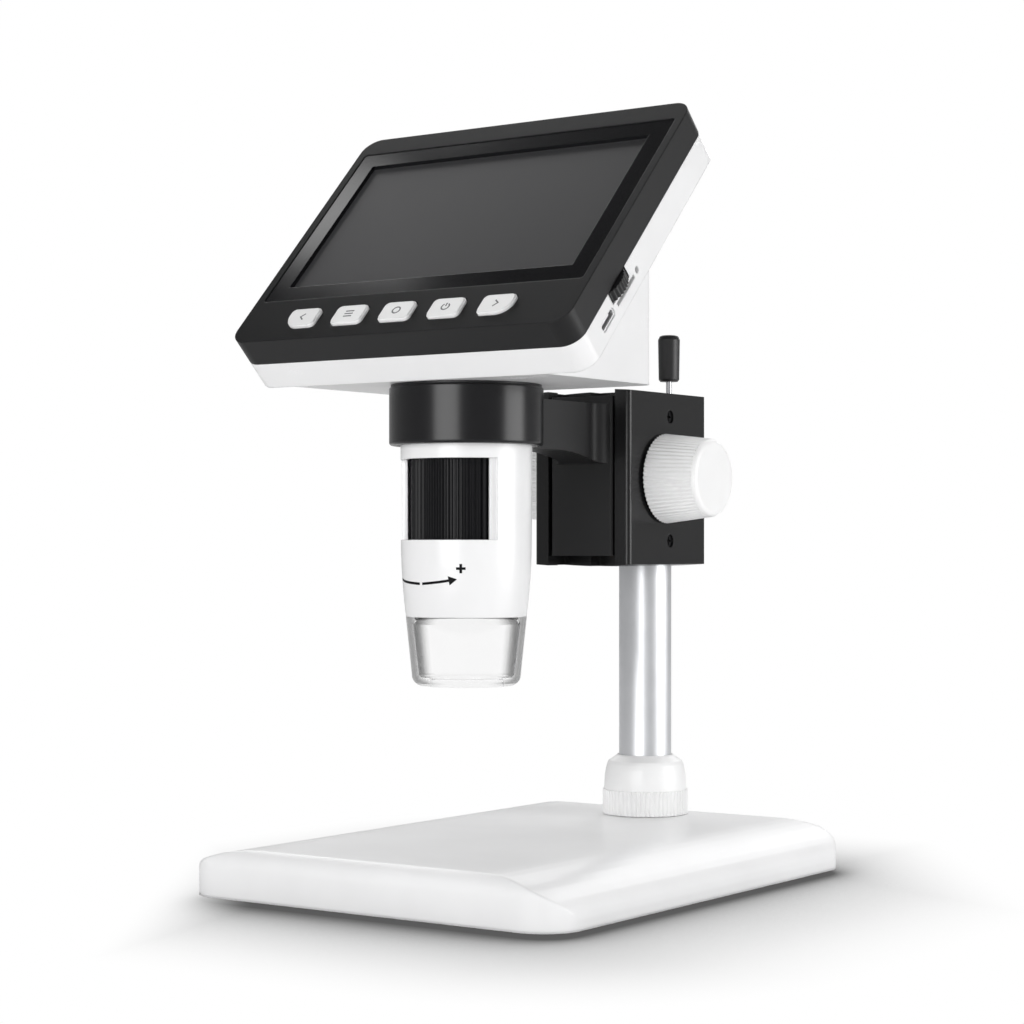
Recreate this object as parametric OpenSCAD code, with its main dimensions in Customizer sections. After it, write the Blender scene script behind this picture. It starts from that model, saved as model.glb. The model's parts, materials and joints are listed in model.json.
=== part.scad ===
// Stand-mounted digital microscope with a tilted screen head.
// Millimetres. Origin: centre of the base's footprint, on the surface the feet stand on.
// +X is to the viewer's right, +Y is away from the viewer, +Z is up.

/* [Base] */
// Width of the base
base_w = 123; // [110:1:150]
// Depth of the base
base_d = 156; // [150:1:190]
// Height of the base shell, without its feet
base_h = 13.3; // [12:0.1:16]
// Height of the thin upright edge under the sloping sides
base_edge = 3; // [2.5:0.1:4]
// Width of each sloping side, seen from above
base_slope = 24; // [16:1:26]
// Corner radius of the base, seen from above
base_corner = 11; // [8:1:20]
// Fillet along the front top edge
base_fillet = 5; // [3:0.5:6]
// Fillet along the rear top edge
rear_fillet = 3; // [2:0.5:3]
// Wall of the base shell
base_wall = 2.4; // [2:0.1:2.8]
// Thickness of the plate that closes the base
cover_t = 1.5; // [1.2:0.1:2]
// Thickness of the steel ballast plate
ballast_t = 4; // [2:0.5:4.5]
// Height of the rubber feet below the base
foot_h = 1.5; // [1.2:0.1:2.5]
// Diameter of the rubber feet
foot_d = 12; // [8:1:14]

/* [Post] */
// Diameter of the post
post_d = 16; // [14:0.5:17]
// Wall of the post tube
post_wall = 1.5; // [1:0.1:2.5]
// Distance from the post's axis to the rear edge of the base
post_inset = 15.6; // [15.6:0.1:20]
// Outer diameter of the hand nut at its widest
nut_d = 26; // [25:0.5:30]
// Height of the hand nut
nut_h = 18.2; // [16:0.2:24]
// Number of ribs round the hand nut
nut_ribs = 60; // [40:1:72]

/* [Focus bracket] */
// Height of the bracket above the base
bracket_lift = 76.5; // [74:0.5:95]
// Width of the bracket
bracket_w = 33.4; // [32:0.2:38]
// Height of the bracket
bracket_h = 51; // [49:0.5:58]
// Distance from the bracket's front to the post's axis
bracket_reach = 35.7; // [35.7:0.1:40]
// Distance from the post's axis to the bracket's flat rear
bracket_tail = 7.2; // [6:0.1:8]
// Rise of the crowned top and bottom
bracket_crown = 0.6; // [0.3:0.1:1]
// Radius of the bracket's front edges
bracket_edge = 1.5; // [1:0.1:2]
// Radius of the round boss at the rear, round the post
boss_r = 12.4; // [12.4:0.1:14]
// Thickness of the front lips that hold the slider
lip_t = 5; // [4:0.1:6]
// Thickness of the side cover
side_t = 3; // [2.6:0.1:3.4]
// Height of the screw holes above and below the knob
side_screw_rise = 18.5; // [16:0.5:20]

/* [Rack and pinion] */
// Tooth module
gear_module = 0.6; // [0.55:0.01:0.62]
// Teeth on the pinion
pinion_teeth = 12; // [12:1:12]
// Pressure angle, in degrees
pressure_angle = 25; // [22:1:26]
// Backlash along the pitch line
backlash = 0.12; // [0.08:0.01:0.2]
// Width of the rack
rack_w = 8; // [6:0.5:9]
// Distance from the pinion's axis to the post's axis
pinion_reach = 16.1; // [15:0.1:17]
// Diameter of the pinion shaft's journals
shaft_d = 6; // [5:0.1:6.2]
// Diameter of the knobs at the bracket
knob_d = 26.6; // [22:0.2:30]
// Diameter of the knobs at their outer end
knob_end_d = 22.6; // [18:0.2:24]
// Length of the knobs
knob_l = 16.5; // [12:0.5:20]
// Number of ribs round a knob
knob_ribs = 60; // [40:1:72]

/* [Carriage] */
// Distance from the barrel's axis to the post's axis
reach = 93; // [88:0.5:100]
// Height of the slider
slider_h = 47; // [44:0.5:48]
// Height of the slider above the middle of the bracket, at rest
slider_rise = 0.6; // [0:0.1:1]
// Height of the collar above the slider's lower end
collar_rise = 30.4; // [26:0.2:30.8]
// Height of the collar
collar_h = 16; // [14:0.5:18]
// Wall of the collar
collar_wall = 2; // [1.6:0.1:3]
// Width of the arm
arm_w = 12; // [8:0.5:16]
// Height of the arm
arm_h = 14.2; // [12:0.2:14.6]
// Radius where the arm meets the slider
arm_fillet = 4; // [2:0.5:4]
// Wall of the liner inside the collar
liner_t = 1; // [0.8:0.1:1.4]

/* [Screen head] */
// Angle between the screen and the table, in degrees
screen_tilt = 46; // [40:1:50]
// Width of the matt bezel on each side of the gloss border
bezel_side = 2.68; // [2.6:0.01:6]
// Distance from the screen's centre to the head's top edge
head_above = 39.9; // [38:0.5:44]
// Distance from the screen's centre to the head's bottom edge
head_below = 49.8; // [49:0.2:53]
// Corner radius of the head
head_corner = 5.5; // [3:0.5:7]
// Depth of the black bezel
bezel_t = 8.3; // [7.6:0.1:10]
// Depth of the white band behind the bezel
band_t = 8.7; // [8.2:0.1:11]
// Wall of the head's mouldings
head_wall = 2; // [1.6:0.1:2.4]
// Width of the screen's active area
lcd_w = 95.04; // [92:0.02:97]
// Height of the screen's active area
lcd_h = 53.86; // [52:0.02:56]
// Width of the gloss border round the screen
border_w = 5.8; // [4.5:0.1:6.2]
// Thickness of the gloss border
border_t = 1.2; // [0.8:0.1:1.6]
// Step from the bezel's front down to the screen
screen_step = 1.5; // [1.2:0.1:2]
// Width of the wedge-shaped part behind the band
wedge_w = 85; // [76:1:92]
// Distance from the barrel's axis to the wedge's rear wall
wedge_tail = 29.5; // [26:0.5:32]
// Radius of the wedge's rear corners
wedge_corner = 4; // [3:0.5:6]
// Distance from the barrel's axis forward to the screen's centre
screen_shift = -0.8; // [-3:0.1:3]

/* [Buttons and controls] */
// Number of buttons
button_count = 5; // [5:1:5]
// Distance from the head's sides to the middle of the outer buttons, for a centred row
button_margin = 23.6; // [20:0.1:26]
// Width of a button
button_w = 10.4; // [8:0.1:11]
// Height of a button
button_h = 7.2; // [6:0.1:8]
// Height of the buttons above the bezel
button_rise = 0.9; // [0.8:0.1:1.5]
// Distance from the screen's centre down to the buttons
button_drop = 41.6; // [40.8:0.1:42.4]
// Sideways offset of the row of buttons
button_shift = -1.2; // [-3:0.1:1]
// Diameter of the dimmer wheel
dimmer_d = 17.2; // [15:0.1:19]
// Thickness of the dimmer wheel
dimmer_t = 3; // [2.4:0.1:3.4]
// Distance from the screen's centre down to the dimmer wheel
dimmer_drop = 24.5; // [20:0.5:26]

/* [Barrel] */
// Diameter of the barrel at the head
barrel_d = 36.2; // [34:0.1:38]
// Diameter of the barrel where the nose starts
nose_d = 36; // [33.4:0.1:36]
// Diameter of the barrel at its lower end
tip_d = 33.2; // [32:0.1:34]
// Length of the barrel below the head
barrel_l = 63.5; // [62:0.5:72]
// Wall of the barrel
barrel_wall = 1.9; // [1.6:0.1:2.2]
// Height of the window for the focus wheel
window_h = 22; // [18:0.5:24]
// Distance from the head down to the window
window_drop = 20.5; // [19:0.5:24]
// Half of the window's angle, at the inside
window_angle = 58; // [45:1:64]
// Extra angle of the window's bevel
window_bevel = 6; // [3:1:8]
// Diameter of the focus wheel
wheel_d = 30.6; // [29:0.1:31]
// Number of ribs round the focus wheel
wheel_ribs = 54; // [40:1:60]
// Length of the clear cap
cap_l = 19; // [16:0.5:24]
// Diameter of the clear cap at the rim above its rounded end
cap_end_d = 30; // [28:0.1:31]
// Radius of the clear cap's rounded end
cap_round = 3; // [2:0.2:4]
// Wall of the clear cap
cap_wall = 2; // [1.6:0.1:2.4]
// Diameter of the opening in the clear cap
cap_mouth_d = 20; // [14:0.5:22]
// Number of lamps round the lens
led_count = 8; // [6:1:8]

/* [Hidden] */
$fn = 72;

// Clearances
slip = 0.05;      // running fit, per side
seat = 0.1;       // between pieces of one body that only touch
gap = 0.2;        // between flat sliding faces
air = 0.3;        // between pieces that must never touch
eps = 0.5;        // how far a cut runs past a face

// Levels and axes that everything else hangs on
base_z0 = foot_h;
base_top = foot_h + base_h;
post_y = base_d / 2 - post_inset;
barrel_y = post_y - reach;
post_r = post_d / 2;
bush_t = 1.15;
bush_r = post_r + slip + bush_t;

// Base internals
cover_top = base_z0 + cover_t;
ceiling_z = base_top - base_wall;
socket_r = post_inset - base_wall - 0.4;
neck_r = post_r + 2;
socket_floor = 2.5;
socket_z0 = cover_top + seat;
socket_post_z = socket_z0 + socket_floor;
neck_top = base_top + nut_h - 8;
collet_z0 = neck_top + seat;
collet_l = 4.5;
nut_skirt_h = 0.41 * nut_h;
nut_gap = 0.15;
bolt_head_r = 4.5;
bolt_r = 2.5;
plug_l = 12;
cover_screw_x = base_w / 2 - 14;
cover_screw_y = base_d / 2 - 12;
foot_x = base_w / 2 - 15;
foot_y = base_d / 2 - 27;
foot_plug_r = 1.9;
foot_bevel = 0.4 * foot_h;
screw_hole_r = 1.25;
screw_r = 1.2;
cover_boss_r = 3.2;
ballast_w = base_w - base_slope - 22;
ballast_y0 = 9 - base_d / 2;
ballast_y1 = post_y - socket_r - 12;
ballast_d = ballast_y1 - ballast_y0;
ballast_y = (ballast_y0 + ballast_y1) / 2;
ballast_screw_x = ballast_w / 2 - 8;
ballast_screw_y = ballast_d / 2 - 8;

// Bracket: front face, slider channel and pinion
bracket_z0 = base_top + bracket_lift;
bracket_z1 = bracket_z0 + bracket_h;
bracket_mid = (bracket_z0 + bracket_z1) / 2;
bracket_y0 = post_y - bracket_reach;
bracket_y1 = post_y + bracket_tail;
half_w = bracket_w / 2;
lip_y = bracket_y0 + lip_t;
slot_x = half_w - side_t;
mouth_x = slot_x - 2;
pinion_y = post_y - pinion_reach;
pinion_z = bracket_mid;
pitch_r = gear_module * pinion_teeth / 2;
addendum = 0.85 * gear_module;
dedendum = 1.05 * gear_module;
pinion_w = rack_w + 2;
pinion_room_r = pitch_r + addendum + 0.4;
shaft_r = shaft_d / 2;
rack_pitch_y = pinion_y - pitch_r;
rack_tip_y = rack_pitch_y + addendum;
rack_root_y = rack_pitch_y - dedendum;
rack_proud = 3.5;
slot_y = rack_root_y - rack_proud;
side_screw_y = pinion_y + 3.4;
side_head_r = 1.85;
side_shank_r = 1.05;
side_screw_x = 4;
side_head_t = 1.3;
side_recess = 0.6;
boss_y1 = post_y + boss_r;
post_top = bracket_z1 - 1.3;
cap_top_t = 1.4;
cap_plug_l = 6;

// Clamp lever
lever_z = bracket_z1 - 14.3;
lever_hub_r = 4.5;
lever_hub_y0 = boss_y1 + gap;
lever_hub_y1 = lever_hub_y0 + 2.9;
lever_y = (lever_hub_y0 + lever_hub_y1) / 2;
lever_screw_r = 2.5;
lever_rod_r = 0.9;
lever_rod_foot = 1;
lever_rod_l = 20;
lever_grip_l = 14.4;
lever_grip_r = 3.4;
lever_grip_bore = 8;

// Knobs
washer_t = 0.6;
knob_x = half_w + washer_t + gap;
knob_bore_l = knob_l - 4;

// Carriage: slider, arm and collar
slider_z0 = bracket_mid - slider_h / 2 + slider_rise;
slider_z1 = slider_z0 + slider_h;
neck_x = mouth_x - 1;
flange_x = slot_x - gap;
flange_y0 = lip_y + gap;
flange_y1 = slot_y - gap;
rack_seat = 1.5;
collar_z0 = slider_z0 + collar_rise;
collar_z1 = collar_z0 + collar_h;
barrel_r = barrel_d / 2;
liner_r0 = barrel_r + 0.08;
liner_r1 = liner_r0 + liner_t;
collar_r0 = liner_r1 + slip;
collar_r1 = collar_r0 + collar_wall;
liner_lip = 0.6;
arm_drop = 3.4;
pad_y = barrel_y + collar_r1 + 0.6;

// Head: a slab parallel to the screen, with a wedge behind it
under_z = collar_z1 + slip + liner_lip;
slab_back = screen_step - bezel_t - band_t;
band_w = screen_step - bezel_t;
screen_z = under_z + head_below * sin(screen_tilt) - slab_back * cos(screen_tilt);
screen_y = barrel_y - screen_shift;
wedge_y1 = barrel_y + wedge_tail;
head_h = head_above + head_below;
head_mid = (head_above - head_below) / 2;
border_out_w = lcd_w + 2 * border_w;
head_w = border_out_w + 2 * bezel_side;
border_out_h = lcd_h + 2 * border_w;
border_front = screen_step - 0.2;
lcd_t = 2.8;
lcd_frame = 3;
lcd_out_w = lcd_w + 2 * lcd_frame;
lcd_out_h = lcd_h + 2 * lcd_frame;
board_t = 1.6;
main_board_w = -lcd_t - 0.1;
main_board_l = head_w - 10;
main_board_h = lcd_h + 5;
chip_w = 14;
key_board_front = -3.4;
key_board_l = 2 * (head_w / 2 - head_wall - 8);
screw_inset = 6.5;
head_screw_x = head_w / 2 - screw_inset;
head_screw_top = head_above - screw_inset;
head_screw_low = -head_below + screw_inset;
button_travel = 0.6;
button_flange = 0.8;
button_pitch = (head_w - 2 * button_margin) / (button_count - 1);
button_x0 = button_shift - (button_count - 1) / 2 * button_pitch;
button_round = 1.6;
bezel_floor = screen_step - head_wall;
button_back = bezel_floor - seat - button_flange;
dimmer_out = 1.6;
dimmer_x = head_w / 2 + dimmer_out - dimmer_d / 2;
dimmer_w1 = band_w - 0.3;
dimmer_ribs = 40;
spindle_r = 1.5;
port_board_t = 0.6;
port_board_w = slab_back + head_wall + seat;
port_board_l = 16;
hole_drop = 14.9;
card_drop = 22.8;
card_l = 11.4;
card_t = 1.1;
card_wall = 0.4;
card_tray_l = 15;
card_w = port_board_w + port_board_t + seat + card_wall;
usb_drop = 34.6;
usb_l = 7.6;
usb_t = 2.4;
usb_depth = 5.4;
port_w = port_board_w + port_board_t + seat + usb_t / 2;
cell_r = 9;
cell_l = 65;
cradle_t = 2.2;
cell_y = wedge_y1 - head_wall - cell_r - cradle_t;
cell_z = under_z + head_wall + cell_r + 14;
cradle_x = 22;
saddle_t = 4;

// Barrel and optics
barrel_z0 = under_z - barrel_l;
window_z1 = under_z - window_drop;
window_z0 = window_z1 - window_h;
nose_z = window_z0;
nose_curve = 1.85;
barrel_ring_r = barrel_r + 2.4;
barrel_ring_t = 1.6;
barrel_top = under_z + head_wall + 3;
guide_r0 = 9.1;
guide_r1 = 10.3;
guide_over = 8;
wheel_r = wheel_d / 2;
wheel_bore_r = guide_r1 + 0.06;
wheel_over = 1.2;
wheel_z0 = window_z0 - wheel_over;
wheel_z1 = window_z1 + wheel_over;
inner_r = barrel_r - barrel_wall;
guide_shelf_t = 2;
shelf_z1 = wheel_z0 - 0.15;
lens_mid = (window_z0 + window_z1) / 2;
lens_l = 12;
lens_travel = 4;
cap_neck_l = 4;
sensor_w = 8;
lamp_t = 0.9;
lamp_board_z = barrel_z0 + cap_neck_l + seat;
lamp_board_r = tip_d / 2 - barrel_wall - 0.4;
lamp_ring_r = lamp_board_r - 3.4;
tip_r = tip_d / 2;
cap_neck_r = tip_r - barrel_wall - 0.1;
cap_neck_wall = 1.2;
cap_seat = 0.05;
cap_z0 = barrel_z0 - cap_l;

// ---------------------------------------------------------------- shared shapes

// Upright box, centred on X and Y, with round corners
module rounded_plate(w, d, h, r) {
    linear_extrude(h) rounded_rect(w, d, r);
}

module rounded_rect(w, d, r) {
    square([w - 2 * r, d], center = true);
    square([w, d - 2 * r], center = true);
    for (x = [-1, 1], y = [-1, 1]) translate([x * (w / 2 - r), y * (d / 2 - r)]) circle(r);
}

// Tube standing on z0
module tube(r_out, r_in, z0, z1) {
    translate([0, 0, z0]) difference() {
        cylinder(r = r_out, h = z1 - z0);
        translate([0, 0, -eps]) cylinder(r = r_in, h = z1 - z0 + 2 * eps);
    }
}

// Cylinder along +X from x0 to x1
module bar_x(r, x0, x1) {
    translate([x0, 0, 0]) rotate([0, 90, 0]) cylinder(r = r, h = x1 - x0);
}

// Cylinder along +Y from y0 to y1
module bar_y(r, y0, y1) {
    translate([0, y0, 0]) rotate([-90, 0, 0]) cylinder(r = r, h = y1 - y0);
}

// Star-shaped outline with shallow ribs
function ribbed_outline(r, depth, count) = [
    for (i = [0 : 2 * count - 1])
        let (a = 180 * i / count, out = (i % 2 == 0) ? r : r - depth, half = 180 / count * 0.24)
            each [[out * cos(a - half), out * sin(a - half)], [out * cos(a + half), out * sin(a + half)]]
];

module at_post() { translate([0, post_y, 0]) children(); }

module at_barrel() { translate([0, barrel_y, 0]) children(); }

// Screen frame: X along the screen's width, Y up the screen, Z out of it
module at_screen() { translate([0, screen_y, screen_z]) rotate([screen_tilt, 0, 0]) children(); }

module at_head_screws() {
    for (x = [-1, 1], y = [head_screw_low, head_screw_top]) translate([x * head_screw_x, y, 0]) children();
}

// ---------------------------------------------------------------- base

// Side-to-side section: upright edge, convex slope, flat top
function slope_points(half, z_edge, z_top, slope, steps) = [
    for (i = [0 : steps])
        let (a = 90 * i / steps)
            [half - slope + slope * cos(a), z_edge + (z_top - z_edge) * sin(a)]
];

module base_section(half, z0, z_edge, z_top, slope) {
    right = slope_points(half, z_edge, z_top, slope, 10);
    left = [for (i = [len(right) - 1 : -1 : 0]) [-right[i][0], right[i][1]]];
    polygon(concat([[half, z0]], right, left, [[-half, z0]]));
}

// Front-to-back section with filleted top edges
module base_side(half, z0, z_top) {
    translate([-half, z0]) square([half, z_top - base_fillet - z0]);
    translate([0, z0]) square([half, z_top - rear_fillet - z0]);
    translate([-half + base_fillet, z0]) square([2 * half - base_fillet - rear_fillet, z_top - z0]);
    translate([-half + base_fillet, z_top - base_fillet]) circle(base_fillet);
    translate([half - rear_fillet, z_top - rear_fillet]) circle(rear_fillet);
}

module base_form(inset, z0, z_top) {
    w = base_w - 2 * inset;
    d = base_d - 2 * inset;
    intersection() {
        translate([0, d / 2 + eps, 0]) rotate([90, 0, 0])
            linear_extrude(d + 2 * eps)
                base_section(w / 2, z0, base_z0 + base_edge - inset / 2, z_top, base_slope);
        translate([-w / 2 - eps, 0, 0]) rotate([90, 0, 90])
            linear_extrude(w + 2 * eps) base_side(d / 2, z0, z_top);
        translate([0, 0, z0]) rounded_plate(w, d, z_top - z0, base_corner - inset);
    }
}

module cover_screw_places() {
    for (x = [-1, 1], y = [-1, 1]) translate([x * cover_screw_x, y * cover_screw_y, 0]) children();
}

module ballast_screw_places() {
    for (x = [-1, 1], y = [-1, 1])
        translate([x * ballast_screw_x, ballast_y + y * ballast_screw_y, 0]) children();
}

module base_shell() {
    color("white") difference() {
        union() {
            difference() {
                base_form(0, base_z0, base_top);
                base_form(base_wall, base_z0 - eps, ceiling_z);
            }
            intersection() {
                union() {
                    cover_screw_places() translate([0, 0, cover_top])
                        cylinder(r = cover_boss_r, h = ceiling_z - cover_top + eps);
                    ballast_screw_places() translate([0, 0, cover_top + ballast_t + seat])
                        cylinder(r = cover_boss_r, h = ceiling_z - cover_top - ballast_t);
                }
                base_form(0, base_z0, base_top);
            }
        }
        cover_screw_places() translate([0, 0, cover_top - eps]) cylinder(r = screw_hole_r, h = 4);
        ballast_screw_places() translate([0, 0, cover_top]) cylinder(r = screw_hole_r, h = ballast_t + 2.5);
        at_post() translate([0, 0, base_z0]) cylinder(r = neck_r + seat, h = base_h + eps);
    }
}

module base_cover() {
    color("dimgray") difference() {
        translate([0, 0, base_z0])
            rounded_plate(base_w - 2 * base_wall - 2 * seat, base_d - 2 * base_wall - 2 * seat,
                cover_t, base_corner - base_wall - seat);
        cover_screw_places() translate([0, 0, base_z0 - eps]) cylinder(r = 1.6, h = cover_t + 2 * eps);
        at_post() translate([0, 0, base_z0 - eps]) cylinder(r = bolt_head_r + 1, h = cover_t + 2 * eps);
        foot_places() translate([0, 0, base_z0 - eps])
            cylinder(r = foot_plug_r + seat, h = cover_t + 2 * eps);
    }
}

module foot_places() {
    children();
    for (x = [-1, 1], y = [-1, 1]) translate([x * foot_x, y * foot_y, 0]) children();
}

module base_feet() {
    color("black") foot_places() {
        rotate_extrude() polygon([
            [0, 0], [foot_d / 2 - foot_bevel, 0], [foot_d / 2, foot_bevel], [foot_d / 2, foot_h], [0, foot_h]
        ]);
        translate([0, 0, foot_h]) cylinder(r = foot_plug_r, h = cover_t - seat);
    }
}

module base_screws() {
    color("silver") {
        cover_screw_places() {
            translate([0, 0, base_z0 - 0.9]) cylinder(r = 2.4, h = 0.9);
            translate([0, 0, base_z0]) cylinder(r = screw_r, h = cover_t + 3);
        }
        ballast_screw_places() {
            translate([0, 0, cover_top + seat]) cylinder(r = 2.2, h = 1);
            translate([0, 0, cover_top + seat + 1]) cylinder(r = screw_r, h = ballast_t + 0.8);
        }
    }
}

module ballast_plate() {
    color("gray") difference() {
        translate([0, ballast_y, cover_top]) rounded_plate(ballast_w, ballast_d, ballast_t, 4);
        ballast_screw_places() {
            translate([0, 0, cover_top - eps]) cylinder(r = 2.5, h = eps + seat + 1);
            translate([0, 0, cover_top - eps]) cylinder(r = screw_hole_r + seat, h = ballast_t + 2 * eps);
        }
    }
}

// ---------------------------------------------------------------- post

module post_socket() {
    color("gainsboro") at_post() difference() {
        union() {
            rotate_extrude() polygon([
                [0, socket_z0], [socket_r, socket_z0], [socket_r, ceiling_z - rear_fillet],
                [socket_r - rear_fillet + air, ceiling_z], [0, ceiling_z]
            ]);
            translate([0, 0, socket_z0]) cylinder(r = neck_r, h = neck_top - socket_z0);
        }
        translate([0, 0, socket_post_z]) cylinder(r = post_r + 0.03, h = neck_top);
        translate([0, 0, socket_z0 - eps]) cylinder(r = bolt_r + 0.1, h = socket_floor + 2 * eps);
    }
}

module post_tube() {
    color("silver") at_post() tube(post_r, post_r - post_wall, socket_post_z, post_top);
}

module post_plug() {
    color("gray") at_post()
        tube(post_r - post_wall - 0.02, bolt_r + 0.03, socket_post_z, socket_post_z + plug_l);
}

module post_bolt() {
    color("gray") at_post() {
        translate([0, 0, socket_z0 - 2.5]) cylinder(r = bolt_head_r, h = 2.5);
        translate([0, 0, socket_z0]) cylinder(r = bolt_r, h = socket_floor + plug_l + 1);
    }
}

module post_cap() {
    color("black") at_post() {
        translate([0, 0, post_top]) rotate_extrude() polygon([
            [0, 0], [post_r, 0], [post_r, cap_top_t - 0.5], [post_r - 0.5, cap_top_t], [0, cap_top_t]
        ]);
        translate([0, 0, post_top - cap_plug_l]) cylinder(r = post_r - post_wall - 0.02, h = cap_plug_l);
    }
}

module post_collet() {
    color("dimgray") at_post() difference() {
        rotate_extrude() polygon([
            [post_r + slip, collet_z0], [neck_r - 0.2, collet_z0],
            [post_r + 1, collet_z0 + collet_l], [post_r + slip, collet_z0 + collet_l]
        ]);
        translate([0, -0.5, neck_top]) cube([neck_r + 1, 1, nut_h]);
    }
}

// Hand nut: ribbed skirt, domed shoulder and narrow mouth
module post_nut() {
    r = nut_d / 2;
    mouth_r = post_r + 0.5;
    shoulder_r = post_r + 2.7;
    z0 = base_top + nut_gap;
    skirt_z = base_top + nut_skirt_h;
    top = base_top + nut_h;
    dome = [for (a = [0 : 15 : 90])
        [shoulder_r + (r - 0.4 - shoulder_r) * cos(a), skirt_z + (top - 1.6 - skirt_z) * sin(a)]];
    color("white") at_post() difference() {
        union() {
            translate([0, 0, z0]) linear_extrude(nut_skirt_h) polygon(ribbed_outline(r, 0.45, nut_ribs));
            rotate_extrude() polygon(concat(
                [[0, z0], [r - 0.5, z0], [r - 0.4, skirt_z]],
                dome,
                [[mouth_r + 0.4, top - 0.4], [mouth_r, top], [0, top]]
            ));
        }
        translate([0, 0, base_top - eps]) cylinder(r = post_r + air, h = nut_h + 2 * eps);
        translate([0, 0, base_top - eps])
            cylinder(r = neck_r + 0.08, h = neck_top - base_top + eps + nut_gap);
        translate([0, 0, neck_top])
            cylinder(r1 = neck_r + air, r2 = post_r + 1.2, h = collet_l + seat + gap);
    }
}

// ---------------------------------------------------------------- focus bracket

module post_bush() {
    color("dimgray") at_post() difference() {
        tube(bush_r, post_r + slip, bracket_z0 + gap, bracket_z1 - gap);
        translate([-bush_r - eps, -0.5, bracket_z0 - eps]) cube([bush_r, 1, bracket_h + 2 * eps]);
    }
}

// Outer outline of the bracket, seen from above
module bracket_outline() {
    w = half_w;
    r = bracket_edge;
    translate([-w, bracket_y0 + r]) square([2 * w, bracket_y1 - bracket_y0 - r]);
    translate([-w + r, bracket_y0]) square([2 * (w - r), r + eps]);
    for (s = [-1, 1]) translate([s * (w - r), bracket_y0 + r]) circle(r);
}

// Front-view section with crowned top and bottom
module crowned_section() {
    r = (half_w * half_w + bracket_crown * bracket_crown) / (2 * bracket_crown);
    sweep = asin(half_w / r);
    z1 = bracket_z1 + bracket_crown - r;
    z0 = bracket_z0 - bracket_crown + r;
    polygon(concat(
        [for (i = [-6 : 6]) [r * sin(sweep * i / 6), z1 + r * cos(sweep * i / 6)]],
        [for (i = [6 : -1 : -6]) [r * sin(sweep * i / 6), z0 - r * cos(sweep * i / 6)]]
    ));
}

module crowned() {
    intersection() {
        translate([0, 0, bracket_z0 - 2 * bracket_crown])
            linear_extrude(bracket_h + 4 * bracket_crown) children();
        translate([0, bracket_y1 + 2 * boss_r, 0]) rotate([90, 0, 0])
            linear_extrude(bracket_reach + bracket_tail + 3 * boss_r) crowned_section();
    }
}

// What the side cover takes from the bracket's outline
module side_area() {
    translate([slot_x, bracket_y0 - 1]) square([side_t + 1, bracket_y1 - bracket_y0 + 2]);
    translate([mouth_x, bracket_y0 - 1]) square([slot_x - mouth_x + eps, lip_t + 1]);
}

// Bore for the bush
module bracket_bore() {
    at_post() translate([0, 0, bracket_z0 - 2]) cylinder(r = bush_r + slip, h = bracket_h + 4);
}

// Front part of the bracket, with the slider's channel and the pinion's room
module bracket_body() {
    color([0.12, 0.12, 0.13]) difference() {
        crowned() difference() {
            intersection() {
                bracket_outline();
                translate([-bracket_w, bracket_y0 - 1]) square([2 * bracket_w, bracket_reach + 1]);
            }
            side_area();
            // slider channel, open through the front
            translate([-mouth_x, bracket_y0 - 1]) square([2 * mouth_x + 1, lip_t + 2]);
            translate([-slot_x, lip_y]) square([2 * slot_x + 1, slot_y - lip_y]);
            translate([-rack_w / 2 - 0.4, slot_y - 1]) square([rack_w + 0.8, rack_tip_y + 0.5 - slot_y + 1]);
        }
        bracket_bore();
        translate([0, pinion_y, pinion_z]) {
            bar_x(pinion_room_r, -pinion_w / 2 - air, half_w);
            bar_x(shaft_r + slip, -half_w - 1, 0);
        }
        at_side_screws() bar_x(side_shank_r + 0.03, side_screw_x - 1, slot_x + 1);
    }
}

// Rear part of the bracket, behind the post's axis, with the boss for the lever's screw
module bracket_clamp() {
    color([0.12, 0.12, 0.13]) difference() {
        crowned() difference() {
            intersection() {
                union() {
                    bracket_outline();
                    translate([0, post_y]) circle(boss_r);
                    // flat pad under the lever's hub
                    translate([-lever_hub_r - 0.5, post_y]) square([2 * lever_hub_r + 1, boss_r]);
                }
                translate([-bracket_w, post_y]) square([2 * bracket_w, 2 * boss_r]);
            }
            side_area();
        }
        bracket_bore();
        translate([0, 0, lever_z]) bar_y(lever_screw_r + slip, post_y, boss_y1 + 1);
    }
}

module bracket_side() {
    color([0.12, 0.12, 0.13]) difference() {
        crowned() intersection() {
            bracket_outline();
            translate([seat / 2, 0]) side_area();
        }
        translate([0, pinion_y, pinion_z]) bar_x(shaft_r + slip, slot_x - 1, half_w + 1);
        at_side_screws() {
            bar_x(side_head_r + seat, half_w - side_recess - side_head_t, half_w + 1);
            bar_x(side_shank_r + gap, slot_x - 1, half_w);
        }
    }
}

module at_side_screws() {
    for (s = [-1, 1]) translate([0, side_screw_y, pinion_z + s * side_screw_rise]) children();
}

module bracket_screws() {
    head_x1 = half_w - side_recess;
    color([0.2, 0.2, 0.2]) at_side_screws() difference() {
        union() {
            bar_x(side_head_r, head_x1 - side_head_t, head_x1);
            bar_x(side_shank_r, side_screw_x, head_x1 - side_head_t + 0.1);
        }
        // cross recess
        translate([head_x1 - 0.7, -0.25, -1.2]) cube([2, 0.5, 2.4]);
        translate([head_x1 - 0.7, -1.2, -0.25]) cube([2, 2.4, 0.5]);
    }
}

module at_lever() { translate([0, lever_y, lever_z]) children(); }

module lever_screw() {
    color("silver") difference() {
        translate([0, 0, lever_z]) {
            bar_y(lever_screw_r, post_y + bush_r + gap, lever_hub_y0 + 0.1);
            bar_y(lever_hub_r, lever_hub_y0, lever_hub_y1);
        }
        at_lever() translate([0, 0, lever_rod_foot]) cylinder(r = lever_rod_r + 0.02, h = lever_hub_r);
    }
}

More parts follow.
